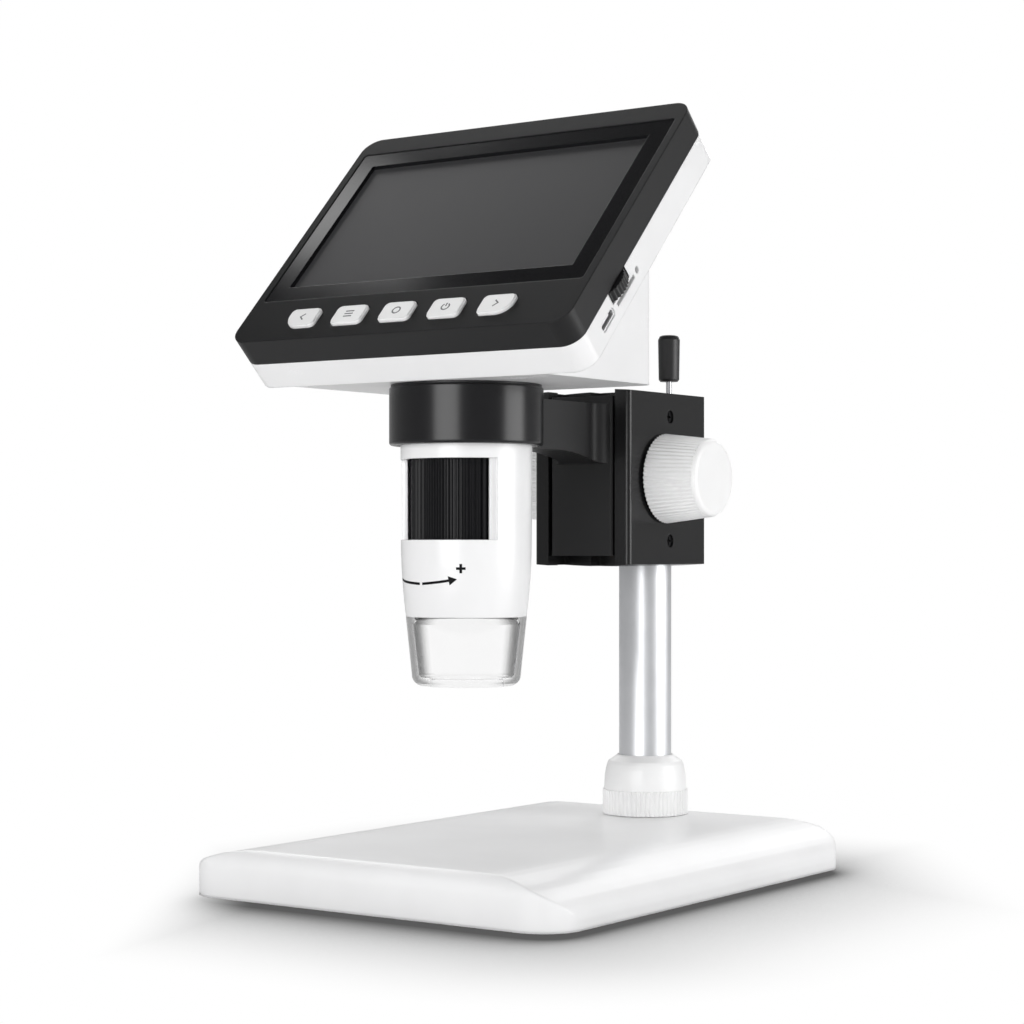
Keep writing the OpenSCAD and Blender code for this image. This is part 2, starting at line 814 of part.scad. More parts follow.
module lever_rod() {
    color("silver") at_lever() translate([0, 0, lever_rod_foot])
        cylinder(r = lever_rod_r, h = lever_rod_l + lever_grip_bore - lever_rod_foot - gap);
}

module lever_grip() {
    l = lever_grip_l;
    r = lever_grip_r;
    color("black") at_lever() translate([0, 0, lever_rod_l]) difference() {
        rotate_extrude() polygon([
            [0, 0], [0.8 * r, 0], [0.94 * r, 0.6], [r, l - 1.4], [0.85 * r, l - 0.3], [0.65 * r, l], [0, l]
        ]);
        translate([0, 0, -eps]) cylinder(r = lever_rod_r + 0.02, h = lever_grip_bore + eps);
    }
}

// ---------------------------------------------------------------- rack, pinion and knobs

// Rack teeth point at +Y; a gap between teeth faces the pinion's axis
module rack_profile() {
    p = PI * gear_module;
    lean = tan(pressure_angle);
    half = p / 4 - backlash / 4;
    n = floor((slider_h - 3) / p / 2);
    y0 = flange_y1 - rack_seat + slip;
    z0 = slider_z0 + 0.5;
    z1 = slider_z1 - 0.5;
    teeth = [for (i = [-n : n - 1]) let (c = pinion_z + (i + 0.5) * p) each [
        [rack_root_y, c - half - dedendum * lean], [rack_tip_y, c - half + addendum * lean],
        [rack_tip_y, c + half - addendum * lean], [rack_root_y, c + half + dedendum * lean]
    ]];
    polygon(concat([[y0, z0], [rack_root_y, z0]], teeth, [[rack_root_y, z1], [y0, z1]]));
}

module rack() {
    color("goldenrod") translate([-rack_w / 2, 0, 0]) rotate([90, 0, 90])
        linear_extrude(rack_w) rack_profile();
}

// Involute pinion outline; a tooth points at the rack
function involute(a) = tan(a) * 180 / PI - a;

function tooth_half_angle(r) =
    let (rb = pitch_r * cos(pressure_angle))
    let (half = 90 / pinion_teeth - backlash / 4 / pitch_r * 180 / PI)
        half + involute(pressure_angle) - (r > rb ? involute(acos(rb / r)) : 0);

function pinion_points() =
    let (rb = pitch_r * cos(pressure_angle), rt = pitch_r + addendum, rr = pitch_r - dedendum, n = 4)
        [for (k = [0 : pinion_teeth - 1])
            let (mid = 180 + 360 * k / pinion_teeth)
                each concat(
                    [let (h = tooth_half_angle(rb)) rr * [cos(mid - h), sin(mid - h)]],
                    [for (i = [0 : n]) let (r = rb + (rt - rb) * i / n, h = tooth_half_angle(r))
                        r * [cos(mid - h), sin(mid - h)]],
                    [for (i = [n : -1 : 0]) let (r = rb + (rt - rb) * i / n, h = tooth_half_angle(r))
                        r * [cos(mid + h), sin(mid + h)]],
                    [let (h = tooth_half_angle(rb)) rr * [cos(mid + h), sin(mid + h)]]
                )];

module pinion_shaft() {
    shoulder_x = slot_x - air;
    knob_end = knob_x + knob_bore_l - 0.2;
    color("silver") translate([0, pinion_y, pinion_z]) {
        translate([-pinion_w / 2, 0, 0]) rotate([90, 0, 90])
            linear_extrude(pinion_w) polygon(pinion_points());
        bar_x(pitch_r, pinion_w / 2, shoulder_x);
        bar_x(shaft_r, shoulder_x, knob_end);
        bar_x(shaft_r, -knob_end, -pinion_w / 2);
        bar_x(pitch_r - dedendum - 0.05, -pinion_w / 2 - 0.1, pinion_w / 2 + 0.1);
    }
}

// Tapered knob with fine lengthwise ribs, standing on its inner face
module knob() {
    rim = 1.6;
    rib = 0.35;
    r0 = knob_d / 2;
    r1 = knob_end_d / 2;
    difference() {
        union() {
            linear_extrude(knob_l - rim, scale = (r1 + 0.25) / r0)
                polygon(ribbed_outline(r0, rib, knob_ribs));
            rotate_extrude() polygon(concat(
                [[0, knob_l - rim - 1]],
                [[r1 - 0.4, knob_l - rim - 1]],
                [for (a = [0 : 15 : 90]) [r1 - rim + rim * cos(a), knob_l - rim + rim * sin(a)]],
                [[0, knob_l]]
            ));
        }
        translate([0, 0, -eps]) cylinder(r = shaft_r + 0.02, h = knob_bore_l + eps);
    }
}

module knob_right() {
    color("white") translate([knob_x, pinion_y, pinion_z]) rotate([0, 90, 0]) knob();
}

module knob_left() {
    color("white") translate([-knob_x, pinion_y, pinion_z]) rotate([0, -90, 0]) knob();
}

module knob_washers() {
    color([0.1, 0.1, 0.1]) for (s = [-1, 1])
        translate([s * (half_w + gap / 2), pinion_y, pinion_z]) rotate([0, 90 * s, 0])
            tube(knob_d / 2 - 1.4, shaft_r + 0.02, 0, washer_t);
}

// ---------------------------------------------------------------- carriage

// Slider seen from above: a panel between the lips, with a flange behind them
module slider_outline() {
    bevel = 0.5;
    polygon([
        [-neck_x, bracket_y0 + bevel], [-neck_x + bevel, bracket_y0], [neck_x - bevel, bracket_y0],
        [neck_x, bracket_y0 + bevel], [neck_x, flange_y0], [flange_x, flange_y0], [flange_x, flange_y1],
        [-flange_x, flange_y1], [-flange_x, flange_y0], [-neck_x, flange_y0]
    ]);
}

// Arm seen from above, flaring into the panel
module arm_outline() {
    w = arm_w / 2;
    f = min(arm_fillet, neck_x - w - 0.2);
    y1 = bracket_y0 + 1;
    difference() {
        union() {
            translate([-w, pad_y]) square([2 * w, y1 - pad_y]);
            translate([-w - f, bracket_y0 - f]) square([2 * (w + f), f + 1]);
        }
        for (s = [-1, 1]) translate([s * (w + f), bracket_y0 - f]) circle(f);
    }
}

// Arm seen from the side, its underside curving down to the panel
module arm_side() {
    z1 = collar_z0 + arm_h;
    span = 0.6 * (bracket_y0 - barrel_y - collar_r1);
    polygon(concat(
        [[pad_y, z1], [pad_y, collar_z0]],
        [for (i = [0 : 8]) let (t = i / 8)
            [bracket_y0 - span * (1 - t), collar_z0 - arm_drop * t * t]],
        [[bracket_y0 + 2, collar_z0 - arm_drop], [bracket_y0 + 2, z1]]
    ));
}

// Slider with the arm up to the collar's pad
module carriage() {
    color([0.1, 0.1, 0.11]) difference() {
        union() {
            translate([0, 0, slider_z0]) linear_extrude(slider_h) slider_outline();
            intersection() {
                translate([0, 0, collar_z0 - arm_drop]) linear_extrude(arm_h + arm_drop) arm_outline();
                translate([-half_w, 0, 0]) rotate([90, 0, 90]) linear_extrude(bracket_w) arm_side();
            }
        }
        translate([-rack_w / 2 - slip, flange_y1 - rack_seat, slider_z0 + 0.5 - slip])
            cube([rack_w + 2 * slip, rack_seat + 1, slider_h - 1 + 2 * slip]);
    }
}

// Ring that carries the barrel, with the pad that the arm meets
module collar() {
    round_r = 0.8;
    color([0.1, 0.1, 0.11]) difference() {
        union() {
            at_barrel() rotate_extrude() polygon(concat(
                [[collar_r0 - 0.5, collar_z0]],
                [for (a = [-90 : 22.5 : 0])
                    [collar_r1 - round_r + round_r * cos(a), collar_z0 + round_r + round_r * sin(a)]],
                [[collar_r1, collar_z1 - 0.4], [collar_r1 - 0.4, collar_z1], [collar_r0 - 0.5, collar_z1]]
            ));
            translate([-arm_w / 2, pad_y - collar_wall, collar_z0])
                cube([arm_w, collar_wall, arm_h]);
        }
        at_barrel() translate([0, 0, collar_z0 - eps]) cylinder(r = collar_r0, h = collar_h + 2 * eps);
    }
}

module collar_liner() {
    color([0.16, 0.16, 0.17]) at_barrel() {
        tube(liner_r1, liner_r0, collar_z0, under_z);
        tube(collar_r1 - 0.5, liner_r0, collar_z1 + slip, under_z);
    }
}

// ---------------------------------------------------------------- screen head

module head_outline(inset) {
    translate([0, head_mid])
        rounded_rect(head_w - 2 * inset, head_h - 2 * inset, head_corner - min(inset, head_corner - 1));
}

// What a wide radius takes off the lower left corner
module corner_cut(w, h, r) {
    difference() {
        translate([-w / 2 - eps, -h / 2 - eps]) square(r + eps);
        translate([-w / 2 + r, -h / 2 + r]) circle(r);
    }
}

// Buttons: the first is rounded at its lower left, the last at its lower right
module button_outline(i, inset) {
    w = button_w - 2 * inset;
    h = button_h - 2 * inset;
    difference() {
        rounded_rect(w, h, button_round - inset / 2);
        if (i == 0) corner_cut(w, h, 0.62 * h);
        if (i == button_count - 1) mirror([1, 0]) corner_cut(w, h, 0.62 * h);
    }
}

module at_button(i) {
    at_screen() translate([button_x0 + i * button_pitch, -button_drop, 0]) children();
}

module bezel() {
    color([0.13, 0.13, 0.14]) difference() {
        union() {
            at_screen() difference() {
                translate([0, 0, band_w]) linear_extrude(bezel_t) head_outline(0);
                translate([0, 0, band_w - eps])
                    linear_extrude(bezel_t - head_wall + eps) head_outline(head_wall);
            }
            // posts for the head's screws
            at_screen() intersection() {
                at_head_screws() translate([0, 0, band_w]) cylinder(r = 3, h = bezel_floor - band_w + eps);
                translate([0, 0, band_w]) linear_extrude(bezel_t) head_outline(0.5);
            }
        }
        at_screen() {
            translate([0, 0, border_front - border_t])
                rounded_plate(border_out_w + 2 * seat, border_out_h + 2 * seat, border_t + 2, 1);
            translate([0, 0, bezel_floor - 1])
                rounded_plate(lcd_out_w + 2 * seat, lcd_out_h + 2 * seat, head_wall + 2, 0.5);
            at_head_screws() translate([0, 0, band_w - eps]) cylinder(r = 1, h = 5);
        }
        for (i = [0 : button_count - 1]) at_button(i)
            translate([0, 0, bezel_floor - eps]) linear_extrude(head_wall + 2 * eps) button_outline(i, -gap);
    }
}

module screen_border() {
    color([0.03, 0.03, 0.035]) at_screen() translate([0, 0, border_front - border_t]) difference() {
        rounded_plate(border_out_w, border_out_h, border_t, 0.9);
        translate([-lcd_w / 2, -lcd_h / 2, -eps]) cube([lcd_w, lcd_h, border_t + 2 * eps]);
    }
}

module lcd_panel() {
    color([0.25, 0.25, 0.26]) at_screen() difference() {
        translate([0, 0, -lcd_t])
            rounded_plate(lcd_out_w, lcd_out_h, lcd_t + border_front - border_t, 0.4);
        translate([-lcd_w / 2, -lcd_h / 2, 0]) cube([lcd_w, lcd_h, 2]);
    }
}

module main_board() {
    back = main_board_w - board_t;
    color("darkgreen") at_screen() {
        translate([0, 0, back]) linear_extrude(board_t) square([main_board_l, main_board_h], center = true);
        // processor, memory and the battery connector on the rear face
        translate([-chip_w, 2, back - 1.2]) cube([chip_w, chip_w, 1.3]);
        translate([0.6 * chip_w, 0.5 * chip_w, back - 1]) cube([0.7 * chip_w, 0.5 * chip_w, 1.1]);
        translate([-main_board_l / 3, -main_board_h * 0.3, back - 4]) cube([8, 6, 4.1]);
        // dimmer's potentiometer and spindle
        translate([dimmer_x, -dimmer_drop, 0]) {
            translate([-3.5, -4, dimmer_w1 + gap]) cube([5.5, 8, back - dimmer_w1 - gap + 0.1]);
            translate([0, 0, dimmer_w1 - dimmer_t + 1]) cylinder(r = spindle_r, h = dimmer_t);
        }
    }
}

module key_board() {
    low = -head_below + head_wall + 1;
    high = -main_board_h / 2 - seat;
    dome_h = button_back - button_travel - slip - key_board_front;
    color("darkgreen") {
        at_screen() translate([-key_board_l / 2, low, key_board_front - board_t])
            cube([key_board_l, high - low, board_t]);
        for (i = [0 : button_count - 1]) at_button(i) translate([0, 0, key_board_front - 0.1])
            rounded_plate(4.5, 4.5, dome_h + 0.1, 0.5);
    }
}

module button(i) {
    color("white") at_button(i) {
        shoulder = screen_step + button_rise - 0.4 - button_back;
        translate([0, 0, button_back]) {
            linear_extrude(shoulder) button_outline(i, 0);
            linear_extrude(shoulder + 0.4) button_outline(i, air);
            linear_extrude(button_flange) button_outline(i, -gap - 0.7);
        }
    }
}

module button_1() { button(0); }
module button_2() { button(1); }
module button_3() { button(2); }
module button_4() { button(3); }
module button_5() { button(4); }

// Wedge seen from the side, in (Y, Z); inset moves its walls inwards
module wedge_side(inset) {
    y1 = wedge_y1 - inset;
    z0 = under_z + inset;
    lean = tan(screen_tilt);
    // a line parallel to the slab's back, this far into the slab
    into = 1 + inset;
    back_y = screen_y - (slab_back + into) * sin(screen_tilt);
    back_z = screen_z + (slab_back + into) * cos(screen_tilt);
    polygon([
        [back_y + (z0 - back_z) / lean, z0], [y1, z0], [y1, back_z + (y1 - back_y) * lean]
    ]);
}

// Wedge with round rear corners
module wedge_form(inset) {
    w = wedge_w - 2 * inset;
    r = wedge_corner - inset / 2;
    y0 = screen_y - head_h;
    intersection() {
        translate([-w / 2, 0, 0]) rotate([90, 0, 90]) linear_extrude(w) wedge_side(inset);
        translate([0, (y0 + wedge_y1 - inset) / 2, under_z])
            rounded_plate(w, wedge_y1 - inset - y0, head_h, r);
    }
}

module head_shell() {
    color("white") difference() {
        union() {
            difference() {
                union() {
                    at_screen() translate([0, 0, slab_back]) linear_extrude(band_t) head_outline(0);
                    intersection() {
                        wedge_form(0);
                        at_screen() translate([-head_w, -head_below, slab_back - head_h])
                            cube([2 * head_w, 2 * head_h, head_h + 1]);
                    }
                }
                at_screen() translate([0, 0, slab_back + head_wall])
                    linear_extrude(band_t) head_outline(head_wall);
                intersection() {
                    wedge_form(head_wall);
                    at_screen() translate([-head_w, head_wall - head_below, slab_back - head_h])
                        cube([2 * head_w, 2 * head_h, head_h + head_wall + 1]);
                }
            }
            // posts for the head's screws
            at_screen() intersection() {
                at_head_screws() translate([0, 0, slab_back]) cylinder(r = 3, h = band_t);
                translate([0, 0, slab_back]) linear_extrude(band_t) head_outline(0);
            }
        }
        at_barrel() translate([0, 0, under_z - eps]) cylinder(r = barrel_r + seat, h = head_wall + 2 * eps);
        at_screen() {
            at_head_screws() {
                translate([0, 0, slab_back - eps]) cylinder(r = 1.3, h = band_t + 2 * eps);
                translate([0, 0, slab_back - eps]) cylinder(r = 2.4, h = eps + 1.6);
            }
            // openings in the right wall
            translate([dimmer_x, -dimmer_drop, dimmer_w1 - dimmer_t - air])
                cylinder(r = dimmer_d / 2 + air, h = dimmer_t + 2 * air);
            translate([0, -hole_drop, port_w]) bar_x(0.9, head_w / 2 - 4, head_w / 2 + 1);
            translate([head_w / 2 - 4, -card_drop - card_l / 2, card_w]) cube([6, card_l, card_t]);
            translate([head_w / 2 - 4, -usb_drop, port_w]) rotate([0, 90, 0])
                rounded_plate(usb_t + 2 * seat, usb_l + 2 * seat, 6, 1);
        }
    }
}

module head_screws() {
    color("silver") at_screen() at_head_screws() {
        translate([0, 0, slab_back + 0.2]) cylinder(r = 2.2, h = 1.4);
        translate([0, 0, slab_back + 1.5]) cylinder(r = 0.98, h = band_t + 2);
    }
}

// Micro-USB receptacle: a folded steel shell with a tongue
module usb_socket() {
    wall = 0.35;
    color("silver") at_screen() translate([head_w / 2 - 0.4, -usb_drop, port_w]) rotate([0, -90, 0]) {
        difference() {
            rounded_plate(usb_t, usb_l, usb_depth, 0.9);
            translate([0, 0, -eps])
                rounded_plate(usb_t - 2 * wall, usb_l - 2 * wall, usb_depth - 0.8 + eps, 0.6);
        }
        translate([-0.3, -usb_l / 2 + 1.4, 0.8]) cube([0.6, usb_l - 2.8, usb_depth - 1.2]);
    }
}

// Small board on the floor of the band that carries the two sockets
module port_board() {
    x1 = head_w / 2 - head_wall - 0.4;
    low = usb_drop + usb_l / 2 + 1;
    high = card_drop - card_l / 2 - 1;
    color("darkgreen") at_screen() translate([x1 - port_board_l, -low, port_board_w])
        cube([port_board_l, low - high, port_board_t]);
}

// Memory card socket: a steel tray behind the slot
module card_socket() {
    x1 = head_w / 2 - head_wall - seat;
    color("silver") at_screen() translate([x1 - card_tray_l, -card_drop - card_l / 2, card_w]) difference() {
        translate([0, -card_wall, -card_wall])
            cube([card_tray_l, card_l + 2 * card_wall, card_t + 2 * card_wall]);
        translate([1, 0, 0]) cube([card_tray_l, card_l, card_t]);
    }
}

module battery_cell() {
    color("royalblue") translate([0, cell_y, cell_z]) {
        bar_x(cell_r, -cell_l / 2, cell_l / 2 - 1);
        bar_x(2.6, cell_l / 2 - 1.1, cell_l / 2);
    }
}

// Two saddles that stand off the wedge's rear wall
module battery_cradle() {
    wall_y = wedge_y1 - head_wall;
    plate_t = cradle_t - 0.6;
    color("dimgray") difference() {
        union() {
            for (s = [-1, 1]) translate([s * cradle_x - saddle_t / 2, cell_y, cell_z - cell_r - 2])
                cube([saddle_t, wall_y - cell_y, 2 * cell_r + 4]);
            translate([-cradle_x - saddle_t, wall_y - plate_t, cell_z - cell_r])
                cube([2 * (cradle_x + saddle_t), plate_t, 2 * cell_r]);
        }
        translate([0, cell_y, cell_z]) bar_x(cell_r + seat, -cell_l / 2, cell_l / 2);
    }
}

module dimmer_wheel() {
    color([0.1, 0.1, 0.1]) at_screen() translate([dimmer_x, -dimmer_drop, dimmer_w1 - dimmer_t])
        difference() {
            linear_extrude(dimmer_t) polygon(ribbed_outline(dimmer_d / 2, 0.4, dimmer_ribs));
            translate([0, 0, 0.8]) cylinder(r = spindle_r + slip, h = dimmer_t);
        }
}

// ---------------------------------------------------------------- barrel and optics

// Outer radius of the barrel at a height: straight to the nose, then a gentle curve to the tip
function barrel_radius(z) =
    z >= nose_z
        ? nose_d / 2 + (barrel_r - nose_d / 2) * min(1, (z - nose_z) / window_h)
        : let (t = (nose_z - z) / (nose_z - barrel_z0)) nose_d / 2 - (nose_d - tip_d) / 2 * pow(t, nose_curve);

module barrel_body(inset, z0, z1) {
    nose_levels = [for (i = [0 : 6]) barrel_z0 + (nose_z - barrel_z0) * i / 6];
    levels = [for (z = concat(nose_levels, [window_z1, under_z])) if (z > z0 && z < z1) z];
    all = concat([z0], levels, [z1]);
    rotate_extrude() polygon(concat(
        [[0, z0]],
        [for (z = all) [barrel_radius(max(z, barrel_z0)) - inset, z]],
        [[0, z1]]
    ));
}

// Sector that opens the window towards the viewer
module window_sector(angle, r, z0, z1) {
    translate([0, 0, z0]) linear_extrude(z1 - z0) polygon(concat(
        [[0, 0]],
        [for (i = [-8 : 8]) let (a = -90 + angle * i / 8) r * [cos(a), sin(a)]]
    ));
}

module barrel_shell() {
    color("white") at_barrel() difference() {
        barrel_body(0, barrel_z0, barrel_top);
        difference() {
            barrel_body(barrel_wall, barrel_z0 - 1, barrel_top + 1);
            // shelf that carries the lens guide
            translate([0, 0, shelf_z1 - guide_shelf_t]) cylinder(r = barrel_r - 0.6, h = guide_shelf_t);
        }
        translate([0, 0, shelf_z1 - guide_shelf_t - eps]) cylinder(r = guide_r0, h = guide_shelf_t + 2 * eps);
        // window with bevelled sides
        difference() {
            window_sector(window_angle, barrel_r + 5, window_z0, window_z1);
            translate([0, 0, window_z0 - 1]) cylinder(r = guide_r1 + 1, h = window_h + 2);
        }
        difference() {
            window_sector(window_angle + window_bevel, barrel_r + 5, window_z0, window_z1);
            translate([0, 0, window_z0 - 1]) cylinder(r = barrel_r - barrel_wall * 0.6, h = window_h + 2);
        }
    }
}

// Ring nut that holds the barrel on the head's floor
module barrel_ring() {
    z0 = under_z + head_wall;
    color("silver") at_barrel() tube(barrel_ring_r, barrel_r + seat, z0, z0 + barrel_ring_t);
}

// Guide tube for the lens cell, with two slots for its pins
module lens_guide() {
    slot_l = 2 * lens_travel + 2.6;
    color("dimgray") at_barrel() difference() {
        union() {
            tube(guide_r1, guide_r0, shelf_z1, wheel_z1 + guide_over);
            tube(inner_r - 0.9, guide_r0, wheel_z1 + 0.2, wheel_z1 + 2.2);
            tube(inner_r - 0.6, inner_r - 1.8, wheel_z1 + 0.2, barrel_top - seat);
        }
        translate([-guide_r1 - 1, -1, lens_mid - slot_l / 2]) cube([2 * guide_r1 + 2, 2, slot_l]);
    }
}

module sensor_board() {
    color("darkgreen") at_barrel() {
        translate([0, 0, barrel_top + seat]) cylinder(r = barrel_r - 0.4, h = board_t);
        translate([-sensor_w / 2, -sensor_w / 2, barrel_top + seat - 1.2]) cube([sensor_w, sensor_w, 1.3]);
        translate([-sensor_w, sensor_w / 2, barrel_top + seat + board_t - 0.1])
            cube([2 * sensor_w, sensor_w / 2, 2.1]);
    }
}

module focus_wheel() {
    color([0.07, 0.07, 0.08]) at_barrel() difference() {
        translate([0, 0, wheel_z0]) linear_extrude(wheel_z1 - wheel_z0)
            polygon(ribbed_outline(wheel_r, 0.45, wheel_ribs));
        translate([0, 0, wheel_z0 - eps]) cylinder(r = wheel_bore_r, h = window_h + 2 * wheel_over + 2 * eps);
        // room for the lens cell's pins
        translate([0, 0, lens_mid - lens_travel - 1.6])
            cylinder(r = guide_r1 + 1.4, h = 2 * lens_travel + 3.2);
    }
}

module lens_cell() {
    color([0.2, 0.2, 0.22]) at_barrel() {
        tube(guide_r0 - slip, 6.2, lens_mid - lens_l / 2, lens_mid + lens_l / 2);
        tube(6.3, 4.6, lens_mid - lens_l / 2, lens_mid - lens_l / 2 + 1);
        for (s = [0, 180]) rotate([0, 0, s]) translate([0, 0, lens_mid])
            bar_x(0.9, guide_r0 - 1, guide_r1 + 0.9);
    }
}

module objective_lens() {
    z = lens_mid - lens_l / 2 + 1.05;
    color([0.75, 0.85, 0.9]) at_barrel() rotate_extrude() polygon(concat(
        [[0, z]], [[6.1, z]], [[6.1, z + 1.4]],
        [for (i = [1 : 6]) let (r = 6.1 * (1 - i / 6)) [r, z + 1.4 + 1.5 * (1 - pow(r / 6.1, 2))]]
    ));
}

module lamp_board() {
    color("whitesmoke") at_barrel() tube(lamp_board_r, 6.4, lamp_board_z, lamp_board_z + board_t);
}

module lamps() {
    color("lightyellow") at_barrel() for (i = [0 : led_count - 1])
        rotate([0, 0, 360 * (i + 0.5) / led_count]) translate([lamp_ring_r, 0, lamp_board_z - lamp_t])
            rounded_plate(3.2, 2.8, lamp_t, 0.3);
}

// Clear cap: a neck inside the barrel's tip and a tapered wall with a rounded end
module clear_cap() {
    w = cap_wall;
    r1 = cap_end_d / 2;
    neck_in = cap_neck_r - cap_neck_wall;
    shoulder_z = barrel_z0 - cap_seat;
    end = [for (a = [0 : 15 : 90])
        [r1 - cap_round + cap_round * cos(a), cap_z0 + cap_round - cap_round * sin(a)]];
    hollow = [for (a = [90 : -30 : 0])
        [r1 - cap_round + (cap_round - w * 0.6) * cos(a) - w * 0.4, cap_z0 + w + 1 - sin(a)]];
    color([0.9, 0.95, 1, 0.35]) at_barrel() rotate_extrude() polygon(concat(
        [[neck_in, barrel_z0 + cap_neck_l], [cap_neck_r, barrel_z0 + cap_neck_l], [cap_neck_r, shoulder_z]],
        [[tip_r, shoulder_z]],
        end,
        [[cap_mouth_d / 2, cap_z0], [cap_mouth_d / 2, cap_z0 + w]],
        hollow,
        [[tip_r - w, barrel_z0 - 2], [neck_in, barrel_z0]]
    ));
}

base_shell();
base_cover();
ballast_plate();
base_feet();
base_screws();
post_socket();
post_tube();
post_plug();
post_bolt();
post_cap();
post_collet();
post_nut();
post_bush();
bracket_body();
bracket_clamp();
bracket_side();
bracket_screws();
lever_screw();
lever_rod();
lever_grip();
carriage();
collar();
rack();
pinion_shaft();
knob_right();
knob_left();
knob_washers();
collar_liner();
bezel();
screen_border();
lcd_panel();
main_board();
key_board();
head_shell();
head_screws();
port_board();
usb_socket();
card_socket();
battery_cell();
battery_cradle();
button_1();
button_2();
button_3();
button_4();
button_5();
dimmer_wheel();
barrel_shell();
barrel_ring();
lens_guide();
sensor_board();
focus_wheel();
lens_cell();
objective_lens();
lamp_board();
lamps();
clear_cap();
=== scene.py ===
"""Finishes, printed marks and studio for a stand-mounted digital microscope.

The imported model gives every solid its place. This add-on dresses it: it makes the
materials, the icons on the keys, the mark on the barrel, the stage and the camera.
"""

import json
import math

import bmesh
import bpy
from bpy.props import FloatProperty, FloatVectorProperty, PointerProperty
from mathutils import Matrix, Vector


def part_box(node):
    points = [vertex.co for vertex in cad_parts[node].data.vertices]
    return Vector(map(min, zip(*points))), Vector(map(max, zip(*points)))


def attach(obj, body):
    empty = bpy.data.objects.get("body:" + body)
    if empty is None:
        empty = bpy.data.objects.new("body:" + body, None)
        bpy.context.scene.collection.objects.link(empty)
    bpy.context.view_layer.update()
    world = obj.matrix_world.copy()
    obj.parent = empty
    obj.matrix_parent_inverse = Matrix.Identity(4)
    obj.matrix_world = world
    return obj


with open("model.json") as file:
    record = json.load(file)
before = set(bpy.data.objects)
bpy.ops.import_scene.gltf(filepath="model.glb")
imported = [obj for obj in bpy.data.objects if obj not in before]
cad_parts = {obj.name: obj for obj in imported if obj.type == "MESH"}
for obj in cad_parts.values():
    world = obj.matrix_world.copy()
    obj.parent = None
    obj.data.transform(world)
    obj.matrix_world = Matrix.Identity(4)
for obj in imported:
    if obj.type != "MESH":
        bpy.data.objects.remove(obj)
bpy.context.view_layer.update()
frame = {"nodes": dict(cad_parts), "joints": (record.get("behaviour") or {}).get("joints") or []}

bl_info = {
    "name": "Screen microscope",
    "version": (1, 0, 0),
    "blender": (4, 5, 0),
    "location": "View3D > Sidebar > Microscope",
    "description": "Finishes and small pieces for a digital microscope with a screen",
    "category": "Object",
}

MM = 0.001

# Tones of single pieces
COVER_GREY = (0.05, 0.05, 0.052)
RUBBER_BLACK = (0.02, 0.02, 0.02)
SCREW_BLACK = (0.02, 0.02, 0.021)
GRIP_BLACK = (0.022, 0.022, 0.023)
SOCKET_PLATE = (0.84, 0.84, 0.85)
LENS_GLASS = (0.9, 0.95, 0.97)
LAMP_EPOXY = (0.85, 0.8, 0.55)
LAMP_BOARD_WHITE = (0.8, 0.8, 0.8)
CAP_CLEAR = (0.97, 0.97, 0.97)
# painted shade that greys the clear cap's wall where it turns away from the view
CAP_PAINTED_SHADE = (0.3, 0.3, 0.3)

# Printed ink, without the flow waves of a moulding
INK = {"roughness": 0.5, "grain": 0.001, "grain_size": 0.1, "wave": 0.0, "edge": 0.00001}

# Key icons, as shares of their height
CHEVRON_REACH = 0.22
CHEVRON_RISE = 0.42
BAR_REACH = 0.5
BAR_RISES = (-0.36, 0.0, 0.36)
DIAL_RADIUS = 0.42
DIAL_OPEN = (125, 415)  # degrees between which the power icon's ring runs
STEM = (0.05, 0.5)
RING_STEPS = 28
RIBBON_STEP = 0.0006  # metres

# The mark on the barrel: degrees round it, and heights in millimetres
MARK_RADIUS = 0.01715  # the barrel where the arrow is printed, in metres
MARK_TAIL = ((-47, 87.8), (-38, 87.25), (-25, 86.85), (-9.6, 86.58))
MARK_SHAFT = ((-6.6, 86.6), (3.2, 86.84), (11.8, 87.12), (21.5, 87.55))
MARK_TIP = (27.8, 87.86)
MARK_PLUS = (31.32, 90.73)
HEAD_RISE = 0.0004  # how much the arrow's head climbs, in metres
HEAD_SPREAD = 1.15  # width of the arrow's head, as a share of its length
HEAD_POINT = 0.1  # width of its point, as a share of the line
RAY_START = 0.05  # metres from the barrel's axis, outside its skin

# Painted shade on the cap's clear wall, where it turns away from the view
WALL_FROM = 0.35  # radius at which it begins, as a share of the cap's width
UPRIGHT_LIMIT = 0.7  # most that a wall's normal may point up or down

# Stage: place, aim, width and height of each lamp, in metres
MIDDLE = (0.0, -0.03, 0.09)
LAMPS = {
    "front": ((0.09, -0.80, 0.16), MIDDLE, 0.50, 0.55),
    "side": ((0.78, 0.28, 0.16), MIDDLE, 0.50, 0.55),
    "back": ((-0.5, 0.9, 0.95), MIDDLE, 1.4, 1.2),
    "accent": ((-0.53, 0.06, 0.78), (-0.045, -0.03, 0.19), 0.06, 0.09),
}
WALL_TOP = (0.35, 0.65)  # heights of a ray between which the walls turn into the ceiling
CEILING = 0.03
FLOOR_RADIUS = 12.0
FLOOR_SHADE = (0.03, 0.03, 0.03)  # paint where the object shuts out the light
FLOOR_OPEN = (0.84, 0.84, 0.84)
SHADE_REACH = 0.06  # metres
SHADE_POWER = 4.0
LEAST_WHITE = 0.1  # share of plain white that the floor has everywhere
FADE_TURN = math.radians(35.06)  # the side fades run across the stage camera's first view
FADE_RIGHT = (88.0, 136.0)  # millimetres
FADE_LEFT = (74.0, 106.0)
SENSOR_WIDTH = 36
CLIP = (0.01, 50)


# ------------------------------------------------------------------ settings


def colour(name, description, default):
    """A linear RGB property."""
    return FloatVectorProperty(
        name=name, description=description, subtype="COLOR", size=3, min=0, max=1, default=default
    )


def length(name, description, default):
    """A distance property, in metres."""
    return FloatProperty(
        name=name, description=description, unit="LENGTH", precision=5, min=0, default=default
    )


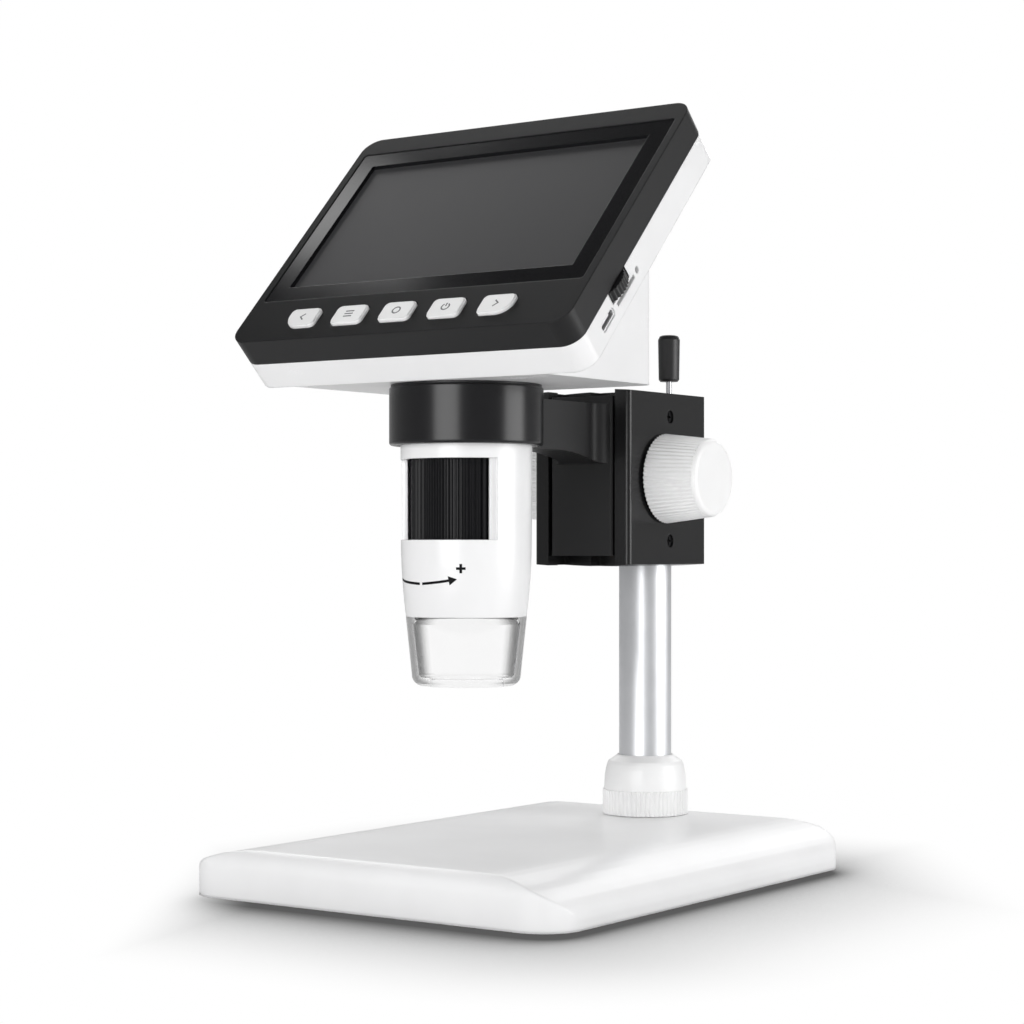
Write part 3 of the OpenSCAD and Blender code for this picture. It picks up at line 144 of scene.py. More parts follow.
class MicroscopeColours(bpy.types.PropertyGroup):
    """Colours of the mouldings, metals and glass."""

    white: colour("White plastic", "Rear housing and barrel", (0.87, 0.87, 0.875))
    base_white: colour("Base white", "Shell of the base", (0.93, 0.93, 0.935))
    key_white: colour("White keys", "Buttons, knobs and hand nut", (0.92, 0.92, 0.92))
    black: colour("Black plastic", "Bezel and carriage", (0.0095, 0.0095, 0.0102))
    bracket_black: colour("Bracket black", "Bracket and lever grip", (0.009, 0.009, 0.0095))
    gloss_black: colour("Gloss black", "Border, collar and focus wheel", (0.006, 0.006, 0.007))
    screen: colour("Screen", "Dark screen behind its cover", (0.046, 0.046, 0.048))
    aluminium: colour("Aluminium", "Post and turned parts", (0.76, 0.77, 0.79))
    steel: colour("Steel", "Screws, shafts and sockets", (0.58, 0.58, 0.60))
    brass: colour("Brass", "Rack", (0.72, 0.52, 0.22))
    board: colour("Board", "Solder mask of the circuit boards", (0.012, 0.11, 0.045))
    sleeve: colour("Battery sleeve", "Shrink sleeve of the battery", (0.03, 0.10, 0.38))
    mark: colour("Printed marks", "Arrow and plus on the barrel", (0.004, 0.004, 0.005))
    icon: colour("Key icons", "Icons on the buttons", (0.17, 0.17, 0.175))


class MicroscopeSizes(bpy.types.PropertyGroup):
    """Sizes of the printed marks and icons."""

    icon_height: length("Icon height", "Height of the icons on the buttons", 0.0028)
    icon_line: length("Icon line", "Line width of the icons", 0.00042)
    print_height: length("Print height", "How far a printed mark stands up", 0.00003)
    arrow_line: length("Arrow line", "Line width of the arrow on the barrel", 0.0007)
    arrow_head: length("Arrow head", "Length of the arrow's head", 0.0022)
    plus_size: length("Plus size", "Width of the plus sign on the barrel", 0.0025)


class MicroscopeStudio(bpy.types.PropertyGroup):
    """Camera and lights."""

    camera_azimuth: FloatProperty(
        name="Camera azimuth",
        description="Angle of the view round the post",
        subtype="ANGLE",
        default=math.radians(35.06),
    )
    camera_place: FloatVectorProperty(
        name="Camera place",
        description="Where the camera stands",
        subtype="TRANSLATION",
        size=3,
        precision=5,
        default=(0.38366, -0.55548, 0.09681),
    )
    camera_lens: FloatProperty(
        name="Focal length", description="Focal length in millimetres", min=10, default=83.143
    )
    camera_rise: FloatProperty(
        name="Vertical shift", description="Shift that keeps the uprights parallel", default=0.03309
    )
    ambient: FloatProperty(
        name="Ambient light", description="Strength of the even light", min=0, default=0.35
    )
    walls: FloatProperty(
        name="Walls",
        description="Brightness that gloss and metal mirror level with them",
        min=0,
        default=0.42,
    )
    front: FloatProperty(
        name="Front light", description="Power of the softbox in front", min=0, default=4.4
    )
    side: FloatProperty(
        name="Side light", description="Power of the softbox on the right", min=0, default=4.3
    )
    back: FloatProperty(
        name="Back light", description="Power of the softbox behind and above", min=0, default=9.5
    )
    accent: FloatProperty(
        name="Accent light",
        description="Power of the small lamp that the screen mirrors",
        min=0,
        default=0.038,
    )
    far_floor: length("Far floor", "Distance from the base where the floor is white", 0.085)


# ------------------------------------------------------------------ shader graphs


class Value:
    """A node's output that can be used in Python expressions."""

    def __init__(self, graph, socket):
        self.graph = graph
        self.socket = socket

    def _join(self, operation, a, b):
        kinds = {v.socket.type for v in (a, b) if isinstance(v, Value)}
        if "RGBA" in kinds:
            return self.graph.blend(operation, a, b)
        if "VECTOR" in kinds:
            a, b = (v if isinstance(v, Value) else (v, v, v) for v in (a, b))
            return self.graph.node("ShaderNodeVectorMath", {"operation": operation}, {0: a, 1: b})
        return self.graph.node("ShaderNodeMath", {"operation": operation}, {0: a, 1: b})

    def __add__(self, other):
        return self._join("ADD", self, other)

    def __radd__(self, other):
        return self._join("ADD", other, self)

    def __sub__(self, other):
        return self._join("SUBTRACT", self, other)

    def __rsub__(self, other):
        return self._join("SUBTRACT", other, self)

    def __mul__(self, other):
        return self._join("MULTIPLY", self, other)

    def __rmul__(self, other):
        return self._join("MULTIPLY", other, self)


class Graph:
    """The node tree of one material, or of the world."""

    def __init__(self, name, owner=None):
        self.owner = owner or bpy.data.materials.new(name)
        self.owner.use_nodes = True
        self.tree = self.owner.node_tree
        self.tree.nodes.clear()

    def node(self, kind, settings=None, inputs=None, out=0):
        """Makes a node, sets it up, fills or links its sockets, and gives one output."""
        made = self.tree.nodes.new(kind)
        for key, value in (settings or {}).items():
            if key == "stops":
                ramp = made.color_ramp.elements
                while len(ramp) < len(value):
                    ramp.new(0.5)
                for stop, (position, shade) in zip(ramp, value):
                    stop.position = position
                    stop.color = (*shade, 1) if len(shade) == 3 else shade
            else:
                setattr(made, key, value)
        for key, value in (inputs or {}).items():
            socket = made.inputs[key]
            if isinstance(value, Value):
                self.tree.links.new(value.socket, socket)
            elif socket.type == "RGBA" and len(value) == 3:
                socket.default_value = (*value, 1)
            else:
                socket.default_value = value
        return Value(self, made.outputs[out]) if made.outputs else None

    def blend(self, kind, a, b, amount=1.0):
        """Mixes two colours. Numbers stand for greys."""
        a, b = (v if isinstance(v, Value) or hasattr(v, "__len__") else (v, v, v) for v in (a, b))
        return self.node(
            "ShaderNodeMix", {"data_type": "RGBA", "blend_type": kind}, {0: amount, 6: a, 7: b}, 2
        )

    def place(self):
        """The point on the surface, in millimetres."""
        spot = self.node("ShaderNodeTexCoord", out=3)
        return self.node("ShaderNodeVectorMath", {"operation": "SCALE"}, {0: spot, "Scale": 1 / MM})

    def noise(self, at, size, detail=2.0, rough=0.5):
        """Soft noise from 0 to 1 whose blobs are about this many millimetres wide."""
        return self.node(
            "ShaderNodeTexNoise",
            inputs={"Vector": at, "Scale": 1.0 / size, "Detail": detail, "Roughness": rough},
        )

    def stretch(self, at, x=1.0, y=1.0, z=1.0):
        """Squeezes a place along its axes, for grain that runs one way."""
        return self.node("ShaderNodeVectorMath", {"operation": "MULTIPLY"}, {0: at, 1: (x, y, z)})

    def parts(self, at):
        """The three numbers of a place."""
        split = self.node("ShaderNodeSeparateXYZ", inputs={0: at})
        outputs = split.socket.node.outputs
        return [Value(self, outputs[i]) for i in range(3)]

    def function(self, operation, *values):
        """One step of arithmetic that Python has no sign for."""
        return self.node("ShaderNodeMath", {"operation": operation}, dict(enumerate(values)))

    def rays(self, *kinds):
        """1 for rays of any of these kinds, and 0 for the rest."""
        paths = self.node("ShaderNodeLightPath").socket.node.outputs
        found = [Value(self, paths[f"Is {kind} Ray"]) for kind in kinds]
        return found[0] if len(found) == 1 else self.function("MAXIMUM", *found)

    def ramp(self, factor, *stops):
        """A colour ramp."""
        return self.node("ShaderNodeValToRGB", {"stops": stops}, {"Fac": factor})

    def soft_step(self, value, start, stop, low=0.0, high=1.0):
        """Goes softly from low to high while the value goes from start to stop."""
        ends = {"From Min": start, "From Max": stop, "To Min": low, "To Max": high}
        return self.node(
            "ShaderNodeMapRange", {"interpolation_type": "SMOOTHSTEP"}, {"Value": value, **ends}
        )

    def round_edges(self, radius):
        """Normals that soften each sharp edge by this radius, in metres."""
        return self.node("ShaderNodeBevel", {"samples": 4}, {"Radius": radius})

    def bumps(self, height, depth, strength, normal=None):
        """Relief this deep, in millimetres, where the height is 1."""
        inputs = {"Height": height, "Distance": depth * MM, "Strength": strength}
        if normal is not None:
            inputs["Normal"] = normal
        return self.node("ShaderNodeBump", inputs=inputs)

    def surface(self, **sockets):
        """Closes the material with a principled shader."""
        named = {key.replace("_", " "): value for key, value in sockets.items()}
        shader = self.node("ShaderNodeBsdfPrincipled", inputs=named)
        self.node("ShaderNodeOutputMaterial", inputs={"Surface": shader})
        return self.owner


def scaled(shade, factor):
    """A colour made darker or lighter, and never brighter than white."""
    return [min(1, part * factor) for part in shade]


def moulding(name, shade, roughness, grain=0.004, grain_size=0.25, wave=0.01, edge=0.0004, **fixed):
    """Injection-moulded plastic with grain, flow waves and a soft change of tone.

    The grain's and the waves' depths and the grain's size are in millimetres, and the
    radius of the edges is in metres. Other sockets of the shader are set by their names.
    """
    g = Graph(name)
    at = g.place()
    cloud = g.noise(at, size=28, detail=3)
    fine = g.noise(at, size=grain_size, detail=2, rough=0.6)
    flow = g.noise(at, size=6, detail=1)
    tone = g.ramp(cloud, (0.3, scaled(shade, 0.965)), (0.7, scaled(shade, 1.02)))
    rough = roughness - 0.03 + 0.05 * cloud + 0.02 * fine
    relief = g.bumps(flow, depth=wave, strength=0.6, normal=g.round_edges(edge))
    relief = g.bumps(fine, depth=grain, strength=0.8, normal=relief)
    return g.surface(Base_Color=tone, Roughness=rough, Normal=relief, **fixed)


def turned_metal(name, shade, roughness, grain=0.0015):
    """Turned or drawn metal with fine lines round its vertical axis."""
    g = Graph(name)
    at = g.place()
    lines = g.noise(g.stretch(at, x=0.05, y=0.05), size=0.12, detail=3, rough=0.7)
    cloud = g.noise(at, size=9, detail=3)
    tone = g.ramp(cloud, (0.3, scaled(shade, 0.95)), (0.7, shade))
    rough = roughness - 0.04 + 0.06 * cloud + 0.05 * lines
    relief = g.bumps(lines, depth=grain, strength=0.5, normal=g.round_edges(0.0002))
    return g.surface(Base_Color=tone, Metallic=1.0, Roughness=rough, Normal=relief)


def circuit_board(name, shade):
    """Solder mask with faint copper tracks below it."""
    g = Graph(name)
    at = g.place()
    x, y, z = g.parts(at)
    run = g.function("SINE", x * 5.2)
    cross = g.function("SINE", (y + z) * 4.4)
    track = g.function("GREATER_THAN", g.function("MAXIMUM", run, cross), 0.86)
    tone = g.blend("MIX", shade, scaled(shade, 1.9), track)
    relief = g.bumps(track, depth=0.03, strength=0.6)
    return g.surface(Base_Color=tone, Roughness=0.35 + 0.1 * g.noise(at, size=3), Normal=relief)


def clear_plastic(g, tone, roughness, **fixed):
    """Clear acrylic or glass with the faintest ripple, in a graph that may hold its tone."""
    ripple = g.bumps(g.noise(g.place(), size=5, detail=1), depth=0.006, strength=0.5)
    return g.surface(
        Base_Color=tone, Roughness=roughness, Transmission_Weight=1.0, Normal=ripple, **fixed
    )


# ------------------------------------------------------------------ helpers


def dress(material, *names):
    """Gives CAD nodes their material."""
    for name in names:
        mesh = frame["nodes"][name].data
        mesh.materials.clear()
        mesh.materials.append(material)


def extent(name, direction):
    """How far a CAD node reaches along a direction, from least to most."""
    reach = [v.co.dot(direction) for v in frame["nodes"][name].data.vertices]
    return min(reach), max(reach)


def joint(name):
    """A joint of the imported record."""
    return next(j for j in frame["joints"] if j["name"] == name)


def screen_axes():
    """Unit vectors along the screen's width, up the screen and out of it."""
    out = -Vector(joint("button_1_press")["axis"])
    along = Vector((1, 0, 0))
    return along, out.cross(along), out


def make_piece(name, mesh, material, body):
    """Adds a mesh to the scene and lets it ride on a CAD body."""
    piece = bpy.data.objects.new(name, mesh)
    bpy.context.scene.collection.objects.link(piece)
    mesh.materials.append(material)
    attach(piece, body)


def print_mesh(name, quads, lay, height):
    """A thin printed skin of flat quads. lay puts a flat point at a height over the surface."""
    bm = bmesh.new()
    corners = {}

    def corner(point, level):
        key = (round(point[0], 8), round(point[1], 8), level)
        if key not in corners:
            corners[key] = bm.verts.new(lay(key[0], key[1], level))
        return corners[key]

    edges = {}
    for quad in quads:
        top = [corner(point, height) for point in quad]
        bm.faces.new(top)
        for i, point in enumerate(quad):
            following = (i + 1) % len(quad)
            edges[top[i], top[following]] = (point, quad[following])
    for (a, b), (start, end) in edges.items():
        if (b, a) not in edges:
            bm.faces.new((b, a, corner(start, 0.0), corner(end, 0.0)))
    mesh = bpy.data.meshes.new(name)
    bm.to_mesh(mesh)
    bm.free()
    return mesh


def ribbon(points, width, end_width=None):
    """The quads of a line through flat points, in short steps that can follow a curved skin."""
    course = [points[0]]
    for (x0, y0), (x1, y1) in zip(points, points[1:]):
        count = max(1, math.ceil(math.hypot(x1 - x0, y1 - y0) / RIBBON_STEP))
        course += [
            (x0 + (x1 - x0) * k / count, y0 + (y1 - y0) * k / count) for k in range(1, count + 1)
        ]
    last = len(course) - 1
    end_width = width if end_width is None else end_width
    sides = []
    for i, (x, y) in enumerate(course):
        before, after = course[max(i - 1, 0)], course[min(i + 1, last)]
        dx, dy = after[0] - before[0], after[1] - before[1]
        chord = math.hypot(dx, dy)
        walked = math.dist(before, (x, y)) + math.dist((x, y), after)
        half = (width + (end_width - width) * i / last) / 2 * walked / chord / chord
        sides.append(((x - dy * half, y + dx * half), (x + dy * half, y - dx * half)))
    return [[a[0], a[1], b[1], b[0]] for a, b in zip(sides, sides[1:])]


def ring(radius, width, start=0.0, end=360.0):
    """The quads of a ring or an arc, between two angles in degrees."""
    quads = []
    inner, outer = radius - width / 2, radius + width / 2
    for i in range(RING_STEPS):
        a, b = (math.radians(start + (end - start) * (i + k) / RING_STEPS) for k in (0, 1))
        quads.append(
            [
                (inner * math.cos(a), inner * math.sin(a)),
                (outer * math.cos(a), outer * math.sin(a)),
                (outer * math.cos(b), outer * math.sin(b)),
                (inner * math.cos(b), inner * math.sin(b)),
            ]
        )
    return quads


def icon_quads(index, h, w):
    """Flat shapes of one key's icon, for a height h and a line width w."""
    if index in (0, 4):
        reach = (-1 if index == 0 else 1) * h * CHEVRON_REACH
        rise = h * CHEVRON_RISE
        return ribbon([(-reach, rise), (reach, 0), (-reach, -rise)], w)
    if index == 1:
        reach = h * BAR_REACH
        return [q for y in BAR_RISES for q in ribbon([(-reach, y * h), (reach, y * h)], w)]
    if index == 2:
        return ring(h * DIAL_RADIUS, w)
    return ring(h * DIAL_RADIUS, w, *DIAL_OPEN) + ribbon([(0, h * t) for t in STEM], w)


# ------------------------------------------------------------------ pieces


class MICROSCOPE_OT_base(bpy.types.Operator):
    """Dress the base, its cover, ballast, feet and screws"""

    bl_idname = "microscope.dress_base"
    bl_label = "Dress the base"

    def execute(self, context):
        shades = context.scene.microscope_colours
        shell = moulding(
            "white_gloss_base", shades.base_white, 0.29,
            grain=0.001, grain_size=0.4, wave=0.002, edge=0.0015,
        )
        dress(shell, "base_shell")
        cover = moulding("cover_grey", COVER_GREY, 0.5, grain=0.02, grain_size=0.3)
        dress(cover, "base_cover")
        rubber = moulding("foot_rubber", RUBBER_BLACK, 0.75, grain=0.02, grain_size=0.2)
        dress(rubber, "base_feet")
        dress(turned_metal("ballast_steel", shades.steel, 0.45, grain=0.006), "ballast_plate")
        dress(turned_metal("base_screw_steel", shades.steel, 0.3), "base_screws")
        return {"FINISHED"}


class MICROSCOPE_OT_post(bpy.types.Operator):
    """Dress the post, its socket, cap, collet and hand nut"""

    bl_idname = "microscope.dress_post"
    bl_label = "Dress the post"

    def execute(self, context):
        shades = context.scene.microscope_colours
        aluminium = turned_metal("post_aluminium", shades.aluminium, 0.38)
        dress(aluminium, "post_tube", "post_socket", "post_plug")
        dress(turned_metal("post_bolt_steel", shades.steel, 0.3), "post_bolt")
        dress(moulding("cap_black", shades.bracket_black, 0.4), "post_cap", "post_collet")
        nut = moulding("nut_white", shades.key_white, 0.32, grain_size=0.3, edge=0.0003)
        dress(nut, "post_nut")
        return {"FINISHED"}


class MICROSCOPE_OT_bracket(bpy.types.Operator):
    """Dress the focus bracket, its bush, screws and clamp lever"""

    bl_idname = "microscope.dress_bracket"
    bl_label = "Dress the bracket"

    def execute(self, context):
        shades = context.scene.microscope_colours
        black = moulding(
            "bracket_black", shades.bracket_black, 0.24,
            grain=0.005, grain_size=0.2, Specular_IOR_Level=0.36,
        )
        dress(black, "bracket_body", "bracket_side", "bracket_clamp", "post_bush")
        dress(turned_metal("side_screw_black", SCREW_BLACK, 0.5), "bracket_screws")
        dress(turned_metal("lever_steel", shades.steel, 0.2), "lever_screw", "lever_rod")
        grip = moulding("grip_black", GRIP_BLACK, 0.42, grain=0.01, grain_size=0.2)
        dress(grip, "lever_grip")
        return {"FINISHED"}


class MICROSCOPE_OT_focus(bpy.types.Operator):
    """Dress the knobs, their shaft, the washers and the rack"""

    bl_idname = "microscope.dress_focus"
    bl_label = "Dress the focus drive"

    def execute(self, context):
        shades = context.scene.microscope_colours
        white = moulding(
            "knob_white", shades.key_white, 0.3, grain_size=0.3, wave=0.006, edge=0.0003
        )
        dress(white, "knob_right", "knob_left")
        dress(moulding("washer_black", shades.bracket_black, 0.45), "knob_washers")
        dress(turned_metal("shaft_steel", shades.steel, 0.25), "pinion_shaft")
        dress(turned_metal("rack_brass", shades.brass, 0.28), "rack")
        return {"FINISHED"}


class MICROSCOPE_OT_carriage(bpy.types.Operator):
    """Dress the slider with its arm and collar, and the liner"""

    bl_idname = "microscope.dress_carriage"
    bl_label = "Dress the carriage"

    def execute(self, context):
        shades = context.scene.microscope_colours
        satin = moulding(
            "carriage_black", shades.black, 0.43,
            grain=0.006, grain_size=0.2, wave=0.008, edge=0.0002, Specular_IOR_Level=0.4,
        )
        dress(satin, "carriage")
        gloss = moulding(
            "collar_black", shades.gloss_black, 0.24,
            grain=0.002, wave=0.008, edge=0.0005, Specular_IOR_Level=0.35,
        )
        dress(gloss, "collar")
        dress(moulding("liner_black", shades.gloss_black, 0.4), "collar_liner")
        return {"FINISHED"}


class MICROSCOPE_OT_screen(bpy.types.Operator):
    """Dress the bezel, the gloss border and the screen"""

    bl_idname = "microscope.dress_screen"
    bl_label = "Dress the screen"

    def execute(self, context):
        shades = context.scene.microscope_colours
        bezel = moulding(
            "bezel_black", shades.black, 0.42,
            grain=0.01, grain_size=0.22, wave=0.006, edge=0.0005, Specular_IOR_Level=0.3,
        )
        dress(bezel, "bezel")
        border = moulding(
            "border_gloss", shades.gloss_black, 0.13,
            grain=0.0002, grain_size=0.5, wave=0.002, edge=0.0002,
            Coat_Weight=0.2, Coat_Roughness=0.1,
        )
        dress(border, "screen_border")
        dress(self.screen_glass(shades.screen), "lcd_panel")
        return {"FINISHED"}

    def screen_glass(self, shade):
        """A switched-off screen: a fine cell grid under a matt film, with painted light that falls
        off from -x to +x.
        """
        g = Graph("screen_off")
        at = g.place()
        x, y, z = g.parts(at)
        cells = g.function("SINE", x * 26.0) * g.function("SINE", (y + z) * 18.6)
        # Painted light: the screen's colour is lighter towards -x and darker towards +x, as if lit
        # from that side.
        side = g.function("MULTIPLY_ADD", x, 0.0105, 0.5)
        tone = g.ramp(side, (0.0, scaled(shade, 1.12)), (1.0, scaled(shade, 0.86)))
        tone = g.blend("MULTIPLY", tone, g.ramp(cells, (0.0, (0.97,) * 3), (1.0, (1.03,) * 3)))
        film = g.bumps(g.noise(at, size=0.18, detail=2), depth=0.002, strength=0.4)
        rough = 0.3 + 0.05 * g.noise(at, size=12)
        return g.surface(Base_Color=tone, Roughness=rough, Normal=film)


class MICROSCOPE_OT_buttons(bpy.types.Operator):
    """Dress the five buttons and print their icons"""

    bl_idname = "microscope.dress_buttons"
    bl_label = "Dress the buttons"

    def execute(self, context):
        shades = context.scene.microscope_colours
        sizes = context.scene.microscope_sizes
        names = [f"button_{i}" for i in range(1, 6)]
        white = moulding(
            "button_white", shades.key_white, 0.34,
            grain=0.003, grain_size=0.3, wave=0.004, edge=0.0005,
        )
        dress(white, *names)
        ink = moulding("icon_ink", shades.icon, **INK)
        along, up, out = screen_axes()
        for index, name in enumerate(names):
            left, right = extent(name, along)
            low, high = extent(name, up)
            top = extent(name, out)[1]
            centre = along * (left + right) / 2 + up * (low + high) / 2

            def lay(s, t, height, centre=centre, top=top):
                return centre + along * s + up * t + out * (top + height)

            quads = icon_quads(index, sizes.icon_height, sizes.icon_line)
            mesh = print_mesh(f"icon_{index + 1}", quads, lay, sizes.print_height)
            make_piece(f"icon_{index + 1}", mesh, ink, name)
        return {"FINISHED"}


class MICROSCOPE_OT_head(bpy.types.Operator):
    """Dress the rear housing, its sockets and the dimmer wheel"""

    bl_idname = "microscope.dress_head"
    bl_label = "Dress the rear housing"

    def execute(self, context):
        shades = context.scene.microscope_colours
        shell = moulding(
            "white_gloss_head", shades.white, 0.26,
            grain=0.003, grain_size=0.35, wave=0.012, edge=0.0006,
        )
        dress(shell, "head_shell")
        dress(turned_metal("head_screw_steel", shades.steel, 0.3), "head_screws")
        dress(turned_metal("socket_steel", SOCKET_PLATE, 0.5), "usb_socket")
        dress(moulding("card_socket_black", shades.gloss_black, 0.5), "card_socket")
        dress(moulding("dimmer_black", shades.black, 0.4), "dimmer_wheel")
        return {"FINISHED"}


class MICROSCOPE_OT_barrel(bpy.types.Operator):
    """Dress the barrel and its focus wheel, and print the arrow and plus"""

    bl_idname = "microscope.dress_barrel"
    bl_label = "Dress the barrel"

    def execute(self, context):
        shades = context.scene.microscope_colours
        sizes = context.scene.microscope_sizes
        shell = moulding("white_gloss_barrel", shades.white, 0.24, grain=0.003, grain_size=0.35)
        dress(shell, "barrel_shell")
        wheel = moulding(
            "wheel_black", shades.gloss_black, 0.26,
            grain=0.002, wave=0.004, edge=0.0002, Specular_IOR_Level=0.12,
        )
        dress(wheel, "focus_wheel")
        low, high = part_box("barrel_shell")
        self.axis = Vector(((low.x + high.x) / 2, (low.y + high.y) / 2, 0))
        ink = moulding("mark_ink", shades.mark, **INK, Specular_IOR_Level=0.1)
        mesh = print_mesh("turn_mark", self.arrow_shapes(sizes), self.lay, sizes.print_height)
        make_piece("turn_mark", mesh, ink, "head")
        return {"FINISHED"}

    def arrow_shapes(self, sizes):
        """Flat shapes of the mark: s runs round the barrel at its own radius, t is the height."""

        def flat(course):
            return [(math.radians(angle) * MARK_RADIUS, z * MM) for angle, z in course]

        width = sizes.arrow_line
        tip, (across, up) = flat([MARK_TIP, MARK_PLUS])
        back = (tip[0] - sizes.arrow_head, tip[1] - HEAD_RISE)
        shapes = ribbon(flat(MARK_TAIL), width) + ribbon(flat(MARK_SHAFT), width)
        shapes += ribbon([back, tip], sizes.arrow_head * HEAD_SPREAD, width * HEAD_POINT)
        arm, half = sizes.plus_size / 2, width / 2
        shapes += ribbon([(across - arm, up), (across + arm, up)], width)
        for way in (-1, 1):
            shapes += ribbon([(across, up + way * half), (across, up + way * arm)], width)
        return shapes

    def lay(self, s, t, height):
        """The point over the barrel's skin for a flat point of the mark."""
        angle = s / MARK_RADIUS
        away = Vector((math.sin(angle), -math.cos(angle), 0))
        start = self.axis + away * RAY_START + Vector((0, 0, t))
        hit, spot, _normal, _face = frame["nodes"]["barrel_shell"].ray_cast(start, -away)
        if not hit:
            raise RuntimeError("the mark misses the barrel")
        return spot + away * height


class MICROSCOPE_OT_cap(bpy.types.Operator):
    """Dress the clear cap, the lens and the lamps"""

    bl_idname = "microscope.dress_cap"
    bl_label = "Dress the cap and the lamps"

    def execute(self, context):
        g = Graph("cap_clear")
        dress(clear_plastic(g, self.painted_wall_shade(g), 0.02, IOR=1.05, Coat_Weight=0.6), "clear_cap")
        dress(clear_plastic(Graph("lens_glass"), LENS_GLASS, 0.0, IOR=1.52), "objective_lens")
        epoxy = moulding("lamp_epoxy", LAMP_EPOXY, 0.15, grain=0.002, grain_size=0.2)
        dress(epoxy, "lamps")
        dress(moulding("lamp_board_white", LAMP_BOARD_WHITE, 0.4, grain_size=0.3), "lamp_board")
        return {"FINISHED"}

    def painted_wall_shade(self, g):
        """Paints shade into the cap's wall and rounding where they turn away, but not the mouth in
        its end.
        """
        low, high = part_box("clear_cap")
        centre = (low + high) / 2 / MM
        x, y, _z = g.parts(g.place())
        x, y = x - centre.x, y - centre.y
        radius = g.function("SQRT", x * x + y * y)
        wall = g.function("GREATER_THAN", radius, (high.x - low.x) / MM * WALL_FROM)
        _x, _y, rise = g.parts(g.node("ShaderNodeNewGeometry", out=1))
        upright = g.function("LESS_THAN", g.function("ABSOLUTE", rise), UPRIGHT_LIMIT)
        # Painted shade: the clear wall's colour turns grey as it turns away from the view.
        turned = g.node("ShaderNodeLayerWeight", inputs={"Blend": 0.5}, out=1)
        stops = ((0.3, CAP_CLEAR), (0.55, CAP_PAINTED_SHADE), (1.0, scaled(CAP_PAINTED_SHADE, 0.9)))
        return g.ramp(turned * wall * upright, *stops)


class MICROSCOPE_OT_inside(bpy.types.Operator):
    """Dress the boards, the battery and the optics"""

    bl_idname = "microscope.dress_inside"
    bl_label = "Dress the inside"

    def execute(self, context):
        shades = context.scene.microscope_colours
        mask = circuit_board("solder_mask", shades.board)
        dress(mask, "main_board", "key_board", "sensor_board", "port_board")
        sleeve = moulding("battery_sleeve", shades.sleeve, 0.25, grain=0.002, grain_size=0.4)
        dress(sleeve, "battery_cell")
        dress(moulding("cradle_black", shades.black, 0.5), "battery_cradle", "lens_guide")
        dress(turned_metal("cell_aluminium", shades.aluminium, 0.3), "lens_cell", "barrel_ring")
        return {"FINISHED"}


